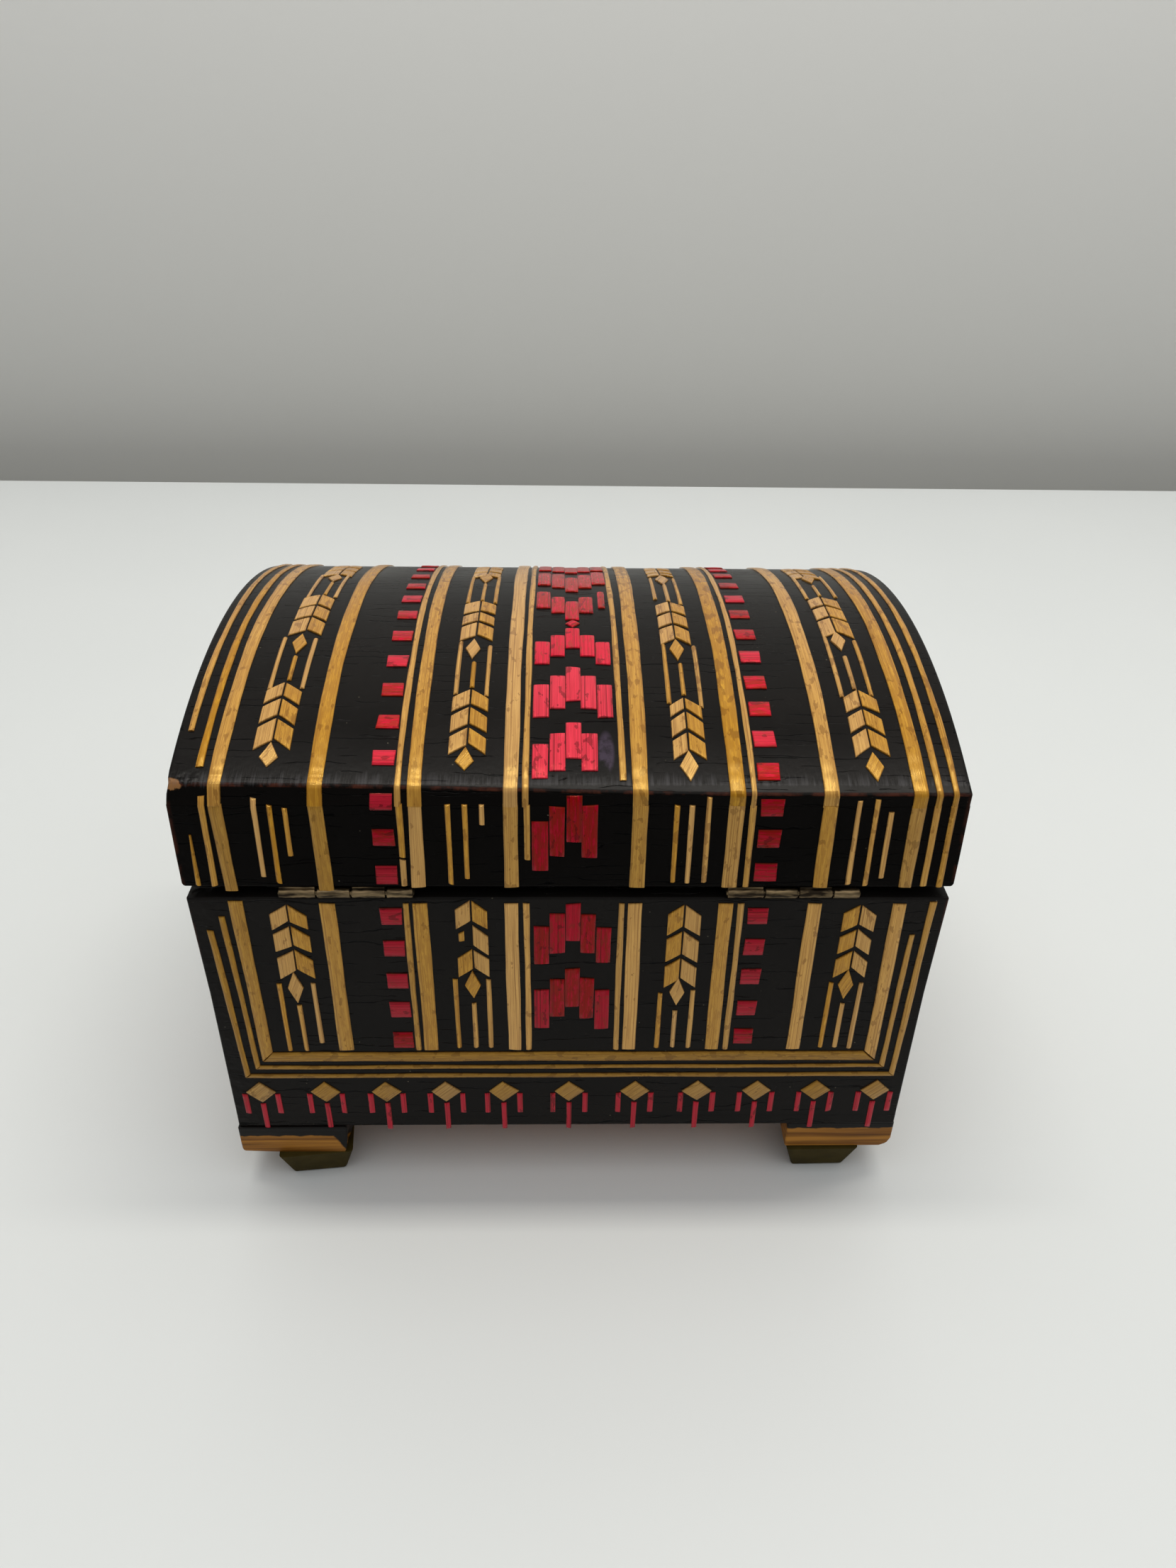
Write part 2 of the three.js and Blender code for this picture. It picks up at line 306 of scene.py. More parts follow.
# the band below the fold has been polished and finely scratched up and down by handling; along its
# scratches a pale grey painted highlight is laid
band_low = add(lacquer, "MapRange", {"Value": out_y, "From Min": 0.0462, "From Max": 0.0520})
band = add(lacquer, "MapRange", {
    "Value": out_y, "From Min": 0.0520, "From Max": 0.0534, "To Min": 1.0, "To Max": 0.0})
band = add(lacquer, "Math", {0: band, 1: band_low}, operation="MULTIPLY")
lid_top = add(lacquer, "Math", {0: axes.outputs["Z"], 1: 0.1045}, operation="GREATER_THAN")
band = add(lacquer, "Math", {0: band, 1: lid_top}, operation="MULTIPLY")
lines = add(lacquer, "Mapping", {"Vector": place, "Scale": (1700.0, 110.0, 110.0)})
lines = add(lacquer, "TexNoise", {"Vector": lines, "Scale": 1.0, "Detail": 3.0, "Roughness": 0.6})
scratch = add(lacquer, "Math", {0: lines, 1: band}, operation="MULTIPLY")
# painted highlight: pale grey mixed into the band along its scratches
painted_highlight = add(lacquer, "MapRange", {"Value": scratch, "From Min": 0.36, "From Max": 0.66, "To Max": 0.34})
tint = add(lacquer, "Mix", {0: painted_highlight, 6: tint, 7: "605e60"}, data_type="RGBA")
gloss = add(lacquer, "MapRange", {
    "Value": cloud, "From Min": 0.3, "From Max": 0.7, "To Min": 0.19, "To Max": 0.30})
peel = add(lacquer, "TexNoise", {"Vector": place, "Scale": 800.0, "Detail": 3.0})
relief = add(lacquer, "Math", {0: peel, 1: 0.35}, operation="MULTIPLY")
depth = add(lacquer, "Math", {0: cracks, 1: 2.2}, operation="MULTIPLY")
relief = add(lacquer, "Math", {0: relief, 1: depth}, operation="SUBTRACT")
relief = add(lacquer, "Math", {0: scratch, 1: 1.1, 2: relief}, operation="MULTIPLY_ADD")
# one corner of the lid has blistered
blister = add(lacquer, "MapRange", {
    "Value": axes.outputs["X"], "From Min": 0.067, "From Max": 0.070, "To Max": 5.0})
blister = add(lacquer, "Math", {0: blister, 1: band_low}, operation="MULTIPLY")
swell = add(lacquer, "TexNoise", {"Vector": place, "Scale": 330.0, "Detail": 2.0})
blister = add(lacquer, "Math", {0: blister, 1: swell}, operation="MULTIPLY")
relief = add(lacquer, "Math", {0: relief, 1: blister}, operation="ADD")
bump = add(lacquer, "Bump", {"Height": relief, "Distance": 0.0001, "Strength": 0.7})
plug(shader, {"Base Color": tint, "Roughness": gloss, "Normal": bump, "Specular IOR Level": 0.065})

# painted shade: the lid's upright sides get a darker, less glossy copy of the lacquer
painted_shade_lacquer = lacquer.copy()
painted_shade_lacquer.name = "black_spirit_lacquer_painted_shade"
plug(painted_shade_lacquer.node_tree.nodes["Principled BSDF"], {"Specular IOR Level": 0.02})
plug(painted_shade_lacquer.node_tree.nodes["blacks"], {6: "090807", 7: "100e0d"})


def sawn_softwood(name, light, dark, along, across, roughness, depth):
    """Bare softwood: two tones mixed by a noise that is drawn out along X, as the grain is. The same
    noise raises it. Along and across are the noise's cycles a metre."""
    finish, shader = new_finish(name)
    place = add(finish, "TexCoord").outputs["Object"]
    grain = add(finish, "Mapping", {"Vector": place, "Scale": (along, across, across)})
    grain = add(finish, "TexNoise", {"Vector": grain, "Scale": 1.0, "Detail": 5.0})
    tint = add(finish, "Mix", {0: grain, 6: light, 7: dark}, data_type="RGBA")
    bump = add(finish, "Bump", {"Height": grain, "Distance": 0.0002, "Strength": depth})
    plug(shader, {"Base Color": tint, "Roughness": roughness, "Normal": bump})
    return finish


# the inside: the same softwood, stained a plain brown and left unpolished
inside_wood = sawn_softwood("brown_stained_softwood", "8a5428", "4a2a12", 24.0, 260.0, 0.62, 0.5)


def board(low, high, low_soft, high_soft, step=board_step):
    """A sawn board with softened edges. Its six sides are grids, closer near the edges. A point that
    is nearer a side than that side's softness is drawn back along an ellipse about the board less
    its softness."""
    low, high = np.round(np.array(low, float), 6), np.round(np.array(high, float), 6)
    low_soft = np.broadcast_to(np.array(low_soft, float), 3)
    high_soft = np.broadcast_to(np.array(high_soft, float), 3)
    step = np.broadcast_to(np.array(step, float), 3)
    into = np.array([0, 0.3, 0.65, 1, 1.7])
    lines = []
    for a, b, soft_a, soft_b, pace in zip(low, high, low_soft, high_soft, step):
        start = a + soft_a * into if soft_a else np.array([a])
        end = b - soft_b * into[::-1] if soft_b else np.array([b])
        count = max(2, int(round((end[0] - start[-1]) / pace)) + 1)
        lines.append(np.concatenate([start, np.linspace(start[-1], end[0], count)[1:-1], end]))
    quads = []
    for axis in range(3):
        u, v = [other for other in range(3) if other != axis]
        for top, value in ((False, low[axis]), (True, high[axis])):
            side = np.empty((len(lines[u]), len(lines[v]), 3))
            side[..., u], side[..., v] = np.meshgrid(lines[u], lines[v], indexing="ij")
            side[..., axis] = value
            four = np.stack([side[:-1, :-1], side[1:, :-1], side[1:, 1:], side[:-1, 1:]], 2)
            quads.append((four if top != (axis == 1) else four[:, :, ::-1]).reshape(-1, 4, 3))
    corners = np.concatenate(quads).reshape(-1, 3)
    points, index = np.unique(np.round(corners, 6), axis=0, return_inverse=True)
    soft = np.where(points < (low + high) / 2, low_soft, high_soft)
    core = np.clip(points, low + low_soft, high - high_soft)
    away = (points - core) / np.maximum(soft, 1e-9)
    reach = np.maximum(np.linalg.norm(away, axis=1, keepdims=True), 1)
    return core + (points - core) / reach, index.reshape(-1, 4)


def box_of(node):
    """A node's lowest and highest corners, in millimetres."""
    low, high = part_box(node)
    return np.array(low) * 1000, np.array(high) * 1000


def worn_ends(points, top):
    """Draws in the box's ends, where the corners have been sanded and rubbed: not at all at the top,
    and in full from the wear's height below it. It fades out towards the middle of the length."""
    depth = end_wear * np.clip((top - points[:, 2]) / wear_height, 0, 1)
    share = np.clip((np.abs(points[:, 0]) - wear_from) / wear_over, 0, 1)
    points[:, 0] -= np.sign(points[:, 0]) * depth * share
    return points


def at_plane(points, faces, axis, value):
    """Which faces have their middles in the plane at that value along an axis."""
    return np.abs(points[faces].mean(1)[:, axis] - value) < 0.05


def paint(piece, numbers):
    """Gives each face the finish with its number."""
    piece.data.polygons.foreach_set("material_index", numbers.astype(np.int32))


for name, across, side in zip(wall_names, (1, 1, 0, 0), (1, -1, -1, 1)):
    low, high = box_of(name)
    soft_y = edge_softness if across == 1 else joint_softness
    points, faces = board(low, high, (edge_softness, soft_y, joint_softness),
                          (edge_softness, soft_y, edge_softness))
    inward = at_plane(points, faces, across, (low if side > 0 else high)[across])
    points = worn_ends(points, high[2])
    piece = mesh_of(name + "_board", points, faces.tolist(), [lacquer, inside_wood])
    paint(piece, inward)
    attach(piece, "base")
    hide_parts(name)


# The bottom board: 3 mm softwood glued under the walls, stained brown inside and left raw below.
# Its edges were lacquered black with the walls.
into_walls = 0.1
base_low, base_high = box_of("bottom_board")
base_high[2] += into_walls

raw_wood = sawn_softwood("raw_softwood_underside", "c47f3c", "8a5424", 30.0, 330.0, 0.7, 0.4)

points, faces = board(base_low, base_high, (0.4, 0.4, 0.5), (0.4, 0.4, joint_softness))
middles = points[faces].mean(1)
from_centre = np.abs(middles - (base_low + base_high) / 2)[:, :2]
edge_side = (from_centre > (base_high - base_low)[:2] / 2 - 1).any(1)
underneath = middles[:, 2] < base_low[2] + 0.1
points = worn_ends(points, box_of("back_wall")[1][2])
piece = mesh_of("bottom_board_wood", points, faces.tolist(), [inside_wood, lacquer, raw_wood])
paint(piece, np.where(underneath, 2, edge_side))
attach(piece, "base")
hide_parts("bottom_board")


# The feet: four flat square blocks of golden varnished softwood, glued under the corners. The black
# of the walls ran over their top edges, and one has lost its inner end and is stained there.
foot_names = ("foot_front_left", "foot_front_right", "foot_back_left", "foot_back_right")
foot_low_radius, cut_corner = 1.6, 2.2
break_set_out, break_slant, break_sunk = 0.7, 1.3, 0.8

foot_wood, shader = new_finish("golden_varnished_softwood")
place = add(foot_wood, "TexCoord").outputs["Object"]
axes = add(foot_wood, "SeparateXYZ", {0: place})
grain = add(foot_wood, "Mapping", {"Vector": place, "Scale": (26.0, 420.0, 900.0)})
grain = add(foot_wood, "TexNoise", {"Vector": grain, "Scale": 1.0, "Detail": 6.0})
light_wood = add(foot_wood, "MapRange", {"Value": grain, "From Min": 0.32, "From Max": 0.62})
tint = add(foot_wood, "Mix", {0: light_wood, 6: "633a10", 7: "a8722a"}, data_type="RGBA")
streak = add(foot_wood, "Mapping", {"Vector": place, "Scale": (14.0, 200.0, 620.0)})
streak = add(foot_wood, "TexNoise", {"Vector": streak, "Scale": 1.0, "Detail": 2.0})
streak = add(foot_wood, "MapRange", {"Value": streak, "From Min": 0.60, "From Max": 0.66, "To Max": 0.75})
tint = add(foot_wood, "Mix", {0: streak, 6: tint, 7: "3f220b"}, data_type="RGBA")
ragged = add(foot_wood, "TexNoise", {"Vector": place, "Scale": 330.0, "Detail": 3.0})
ragged = add(foot_wood, "Math", {0: ragged, 1: 0.0012}, operation="MULTIPLY")
edge = add(foot_wood, "Math", {0: axes.outputs["Z"], 1: ragged}, operation="ADD")
drip = add(foot_wood, "Math", {0: axes.outputs["X"], 1: 0.0}, operation="GREATER_THAN")
edge = add(foot_wood, "Math", {0: drip, 1: 0.0010, 2: edge}, operation="MULTIPLY_ADD")
ran_over = add(foot_wood, "MapRange", {"Value": edge, "From Min": 0.0152, "From Max": 0.0155})
slant = add(foot_wood, "Math", {0: axes.outputs["Z"], 1: -0.55, 2: -0.0438}, operation="MULTIPLY_ADD")
slant = add(foot_wood, "Math", {0: axes.outputs["X"], 1: slant}, operation="ADD")
slant = add(foot_wood, "Math", {0: slant, 1: ragged}, operation="ADD")
stain = add(foot_wood, "MapRange", {
    "Value": slant, "From Min": 0.0026, "From Max": 0.0031, "To Min": 1.0, "To Max": 0.0})
right_foot = add(foot_wood, "Math", {0: axes.outputs["X"], 1: 0.03}, operation="GREATER_THAN")
back_foot = add(foot_wood, "Math", {0: axes.outputs["Y"], 1: 0.0}, operation="GREATER_THAN")
stain = add(foot_wood, "Math", {0: stain, 1: right_foot}, operation="MULTIPLY")
stain = add(foot_wood, "Math", {0: stain, 1: back_foot}, operation="MULTIPLY")
black = add(foot_wood, "Math", {0: stain, 1: ran_over}, operation="MAXIMUM")
tint = add(foot_wood, "Mix", {0: black, 6: tint, 7: "0d0a08"}, data_type="RGBA")
bump = add(foot_wood, "Bump", {"Height": grain, "Distance": 0.0002, "Strength": 0.6})
plug(shader, {"Base Color": tint, "Roughness": 0.42, "Specular IOR Level": 0.15, "Normal": bump})

for name in foot_names:
    low, high = box_of(name)
    broken = name == "foot_back_right"
    if broken:
        high[1] += break_set_out
    points, faces = board(low, high, (0.45, 0.4, 0.6), (0.45, 0.4, 0.2), step=1.6)
    x, y, z = points.T
    up = (z - low[2]) / (high[2] - low[2])
    if broken:
        # the inner end broke off on a slant: x is pushed out to a ragged line that leans with height
        line = low[0] + break_slant * (1 - up) + 0.35 * np.sin(1.9 * y) + 0.25 * np.sin(4.3 * z + 0.8 * y)
        near_back = np.clip((y - (high[1] - 9)) / 6, 0, 1)
        points[:, 0] = np.where(x < line, x + (line - x) * near_back, x)
        # and the block's inner end hangs a little lower
        points[:, 2] -= break_sunk * (1 - up) * np.clip((high[0] - x) / 17, 0, 1)
    outer = (high[0] - x) if low[0] > 0 else (x - low[0])
    if name == "foot_back_left":
        # the lower outer corner was cut off at 45 degrees
        over = np.maximum(0, cut_corner - outer - (z - low[2])) / 2
        points[:, 0] += over
        points[:, 2] += over
    else:
        # the other outer corners are rubbed round: points outside the corner's circle go onto it
        in_x, in_z = foot_low_radius - outer, foot_low_radius - (z - low[2])
        out = np.hypot(in_x, in_z)
        pull = np.where((in_x > 0) & (in_z > 0) & (out > foot_low_radius), 1 - foot_low_radius / out, 0)
        points[:, 0] -= np.sign(low[0] + high[0]) * pull * in_x
        points[:, 2] += pull * in_z
    piece = mesh_of(name + "_block", points, faces.tolist(), [foot_wood])
    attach(piece, "base")
    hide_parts(name)


# The pads: four tapered square lumps of grey-green rubber with moulded round edges. They were stuck
# under the feet by hand, so each is turned a little and squeezed out towards the long face near it.
pad_softness, pad_top_softness = 0.9, 0.15
pad_top_side, pad_bottom_side = 16.7, 11.9
pads = (
    ("pad_front_left", -1.5, 0.4), ("pad_front_right", 2.0, 0.4),
    ("pad_back_left", 1.0, 0.6), ("pad_back_right", 6.0, 1.5),
)

rubber, shader = new_finish("grey_green_rubber")
place = add(rubber, "TexCoord").outputs["Object"]
cloud = add(rubber, "TexNoise", {"Vector": place, "Scale": 260.0, "Detail": 4.0})
tint = add(rubber, "Mix", {0: cloud, 6: "26200c", 7: "483d1a"}, data_type="RGBA")
bump = add(rubber, "Bump", {"Height": cloud, "Distance": 0.0002, "Strength": 0.4})
plug(shader, {"Base Color": tint, "Roughness": 0.6, "Specular IOR Level": 0.05, "Normal": bump})

for name, turned_by, spread in pads:
    low, high = box_of(name)
    middle = (low + high) / 2
    half = pad_top_side / 2
    points, faces = board((-half, -half, low[2]), (half, half, high[2]), pad_softness,
                          (pad_softness, pad_softness, pad_top_softness), step=1.6)
    up = (points[:, 2] - low[2]) / (high[2] - low[2])
    narrow = pad_bottom_side / pad_top_side + (1 - pad_bottom_side / pad_top_side) * up
    cos, sin = math.cos(math.radians(turned_by)), math.sin(math.radians(turned_by))
    x, y = points[:, 0] * narrow, points[:, 1] * narrow
    outwards = np.sign(middle[1])
    y = y + spread * outwards * np.clip(0.5 + y * outwards / half, 0, 1)
    points[:, 0] = middle[0] + cos * x - sin * y
    points[:, 1] = middle[1] + sin * x + cos * y
    piece = mesh_of(name + "_rubber", points, faces.tolist(), [rubber])
    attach(piece, "base")
    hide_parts(name)


# The lid's rails and arched ends: 5 mm boards of softwood, lacquered black like the walls, that
# carry the bent top. The rails lean in by 1 mm towards the fold, and their lower corners are rubbed
# round.
rail_lean, rail_corner, rail_thickness = 1.0, 1.5, 5.0
panel_low, panel_high = box_of("lid_top_panel")
shift_y = (panel_low[1] + panel_high[1]) / 2
dome_half, dome_rise = 55.2, 12.1
dome_radius = (dome_half ** 2 + dome_rise ** 2) / (2 * dome_rise)
dome_centre = panel_high[2] - dome_radius
panel_thickness, glue_gap = 4.0, 0.05


def arch(y, radius):
    """The height of the lid's arch at y: a circle about the dome's centre line."""
    return dome_centre + np.sqrt(radius ** 2 - (y - shift_y) ** 2)


for name, side in (("lid_back_rail", 1), ("lid_front_rail", -1)):
    low, high = box_of(name)
    points, faces = board(low, high, (0.4, 0.35, 0.5), (0.4, 0.35, joint_softness))
    inner = low[1] if side > 0 else high[1]
    outward = (points[:, 1] - inner) / (rail_thickness * side)
    up = (points[:, 2] - low[2]) / (high[2] - low[2])
    points[:, 1] -= side * rail_lean * outward * up
    # the two lower corners: points outside the corner's circle are drawn onto it
    in_x = rail_corner - (high[0] - np.abs(points[:, 0]))
    in_z = rail_corner - (points[:, 2] - low[2])
    out = np.hypot(in_x, in_z)
    corner = (in_x > 0) & (in_z > 0) & (out > rail_corner)
    pull = np.where(corner, 1 - rail_corner / np.maximum(out, 1e-6), 0)
    points[:, 0] -= np.sign(points[:, 0]) * pull * in_x
    points[:, 2] += pull * in_z
    # painted shade: the rails' outsides take the darker copy of the lacquer
    piece = mesh_of(name + "_board", points, faces.tolist(), [painted_shade_lacquer, inside_wood])
    paint(piece, at_plane(points, faces, 1, inner))
    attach(piece, "lid")
    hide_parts(name)

for name, side in (("lid_left_end", -1), ("lid_right_end", 1)):
    low, high = box_of(name)
    points, faces = board(low, high, (0.4, joint_softness, 0.5),
                          (0.4, joint_softness, joint_softness), step=3.0)
    up = (points[:, 2] - low[2]) / (high[2] - low[2])
    top = arch(points[:, 1], dome_radius - panel_thickness - glue_gap)
    points[:, 2] = low[2] + up * (top - low[2])
    piece = mesh_of(name + "_board", points, faces.tolist(), [lacquer, inside_wood])
    paint(piece, at_plane(points, faces, 0, low[0] if side > 0 else high[0]))
    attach(piece, "lid")
    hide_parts(name)


# The lid's top: a thin panel bent over the arched ends, so that it folds sharply down to the rails.
# The black is rubbed through to brown wood along the fold, and one corner of the fold is chipped.
fold_softness, fold_skew, fold_reach = 0.55, 2.0, 4.2
skew_from, skew_over = -40.0, 110.0
chip_at, chip_size, chip_depth = np.array([75.2, 51.7, 107.0]), 1.3, 0.4


def skew_at(x):
    """How far the back fold is set in at x: the panel was bent a little askew, so the fold's edge
    runs in by the skew from one end to the other, along a smooth step."""
    share = np.clip((x - skew_from) / skew_over, 0, 1)
    return fold_skew * share ** 2 * (3 - 2 * share)


def near_fold(y):
    """How much of the skew a point takes: all at the fold, evenly less to none at the fold's reach."""
    return np.clip((y - panel_half + fold_reach) / fold_reach, 0, 1)


# The panel is a flat board first. Each point then goes up from the panel's underside, which is the
# arch less its thickness, or level over the rails, by its share of the way to the outer arch.
panel_half = (panel_high[1] - panel_low[1]) / 2
inner_half = dome_half - rail_thickness
points, faces = board(
    (panel_low[0], shift_y - panel_half, 0), (panel_high[0], shift_y + panel_half, panel_thickness),
    (0.5, fold_softness, joint_softness), (0.5, fold_softness, fold_softness), step=(3.0, 2.0, 1.2))
up = points[:, 2] / panel_thickness
reach = np.abs(points[:, 1] - shift_y)
on_edge = (reach > panel_half - 0.7 * fold_softness) & (up > 1 - 0.75 * fold_softness / panel_thickness)
seat = arch(shift_y + inner_half, dome_radius - panel_thickness)
under = np.where(reach < inner_half, arch(points[:, 1], dome_radius - panel_thickness), seat)
points[:, 1] -= skew_at(points[:, 0]) * up * near_fold(points[:, 1] - shift_y)
points[:, 2] = under + up * (arch(points[:, 1], dome_radius) - under)
# the chip: points near the corner sink towards the panel's middle, less the further they are
from_chip = np.linalg.norm(points - chip_at, axis=1)
bite = chip_depth * np.exp(-(from_chip / chip_size) ** 2)
points[:, 0] -= bite
points[:, 1] -= 0.5 * bite
piece = mesh_of("lid_top_panel_bent", points, faces.tolist(), [lacquer, inside_wood, painted_shade_lacquer])
edge = piece.data.attributes.new("fold", "FLOAT", "POINT")
edge.data.foreach_set("value", on_edge.astype(np.float32))
middles = points[faces].mean(1)
inward = middles[:, 2] < arch(middles[:, 1], dome_radius - panel_thickness + 0.5)
normals = np.empty(3 * len(faces))
piece.data.polygons.foreach_get("normal", normals)
upright_side = np.abs(normals.reshape(-1, 3)[:, 1]) > 0.8
# painted shade: the panel's upright sides take the darker copy of the lacquer
paint(piece, np.where(inward, 1, 2 * upright_side))
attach(piece, "lid")
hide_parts("lid_top_panel")


# The hinges: two small butt hinges of rolled sheet brass, let in between rim and lid. Only their
# four lumpy knuckles show, dulled brown by age, with the ends of an iron-stained pin.
knuckle_lengths, knuckle_gap = (5.1, 6.5, 6.4, 7.1), 0.3
barrel_radius, pin_radius, pin_proud = 1.0, 0.45, 0.2
hinge_y, hinge_z = 54.7, 83.8
plate_near, plate_far, plate_softness = 0.55, 1.35, 0.12
plate_set_in, tab_set_in, tab_gap = 1.35, 1.6, 0.1

brass, shader = new_finish("aged_rolled_brass")
place = add(brass, "TexCoord").outputs["Object"]
ridges = add(brass, "Mapping", {"Vector": place, "Scale": (160.0, 900.0, 900.0)})
cloud = add(brass, "TexNoise", {"Vector": ridges, "Scale": 1.0, "Detail": 4.0})
patina = add(brass, "MapRange", {"Value": cloud, "From Min": 0.38, "From Max": 0.62})
tint = add(brass, "Mix", {0: patina, 6: "2c251d", 7: "8a7759"}, data_type="RGBA")
gloss = add(brass, "MapRange", {"Value": cloud, "To Min": 0.62, "To Max": 0.32})
bump = add(brass, "Bump", {"Height": cloud, "Distance": 0.0002, "Strength": 0.7})
plug(shader, {"Base Color": tint, "Metallic": 1.0, "Roughness": gloss, "Normal": bump})


def tube(start, length, radius, lump, sides=28, rings=18):
    """A round bar along X with rounded ends and a dented skin. Its radius follows a quarter circle
    at each end and swells by lump times a mix of sines of angle and place."""
    end_round = min(0.22, radius / 2)
    turn = np.linspace(0, math.pi / 2, 5)
    inner = np.linspace(end_round, length - end_round, rings)[1:-1]
    from_end, drop = end_round * (1 - np.cos(turn)), end_round * (1 - np.sin(turn))
    x = np.concatenate([from_end, inner, length - from_end[::-1]])
    r = radius - np.concatenate([drop, np.zeros(len(inner)), drop[::-1]])
    angle = np.linspace(0, 2 * math.pi, sides, endpoint=False)
    grid_x, grid_a = np.meshgrid(x + start, angle, indexing="ij")
    swell = np.sin(3 * grid_a + 1.7 * grid_x) + np.sin(2 * grid_a - 2.9 * grid_x) + np.sin(4.1 * grid_x)
    grid_r = r[:, None] * (1 - lump) + lump / 3 * swell * radius
    points = np.stack([grid_x, hinge_y + grid_r * np.cos(grid_a), hinge_z + grid_r * np.sin(grid_a)], -1)
    ring, around = np.arange(len(x) - 1)[:, None] * sides, np.arange(sides)
    first, second = ring + around, ring + (around + 1) % sides
    faces = np.stack([first, second, second + sides, first + sides], -1).reshape(-1, 4).tolist()
    faces += [around[::-1].tolist(), (around + ring[-1] + sides).tolist()]
    return points.reshape(-1, 3), faces


def joined(parts):
    """Several sets of points and faces as one."""
    points, faces, count = [], [], 0
    for part_points, part_faces in parts:
        points.append(part_points)
        faces += [[count + index for index in face] for face in part_faces]
        count += len(part_points)
    return np.concatenate(points), faces


for side_name in ("left", "right"):
    pin = f"hinge_{side_name}_pin"
    pin_low, pin_high = box_of(pin)
    starts = pin_low[0] + pin_proud + np.cumsum((0,) + knuckle_lengths) + knuckle_gap * np.arange(5)
    for body, first, z0, z1 in (
        ("base", 0, hinge_z - plate_far, hinge_z - plate_near),
        ("lid", 1, hinge_z + plate_near, hinge_z + plate_far),
    ):
        # a leaf: every second knuckle, the plate, and a tab from the plate to each of its knuckles
        node = f"hinge_{side_name}_{body}_leaf"
        knuckles = [(starts[k], knuckle_lengths[k]) for k in range(first, 4, 2)]
        parts = [tube(start, length, barrel_radius, 0.07) for start, length in knuckles]
        plate_end = starts[4] - knuckle_gap
        plates = [((starts[0], box_of(node)[0][1], z0), (plate_end, hinge_y - plate_set_in, z1))]
        plates += [((start + tab_gap, hinge_y - tab_set_in, z0), (start + length - tab_gap, hinge_y, z1))
                   for start, length in knuckles]
        for low, high in plates:
            points, faces = board(low, high, plate_softness, plate_softness, step=4.0)
            parts.append((points, faces.tolist()))
        piece = mesh_of(node + "_brass", *joined(parts), [brass])
        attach(piece, body)
        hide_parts(node)
    piece = mesh_of(pin + "_wire", *tube(pin_low[0], pin_high[0] - pin_low[0], pin_radius, 0.03), [brass])
    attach(piece, "base")
    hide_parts(pin)


# The straw on the back wall: rye straw split, soaked, pressed flat and cut with a knife, then glued
# on the lacquer and varnished over. Each piece stands about 0.35 mm proud, with soft edges. In the
# tables below x is mm to the right of the middle, and t is mm up from the pattern's base.
straw_rise, thin_rise, leg_rise, straw_sink = 0.36, 0.35, 0.25, 0.06
straw_bevel, steady, loose = 0.16, 0.06, 0.10
fibre_gap, fibre_run = 0.28, 14.0


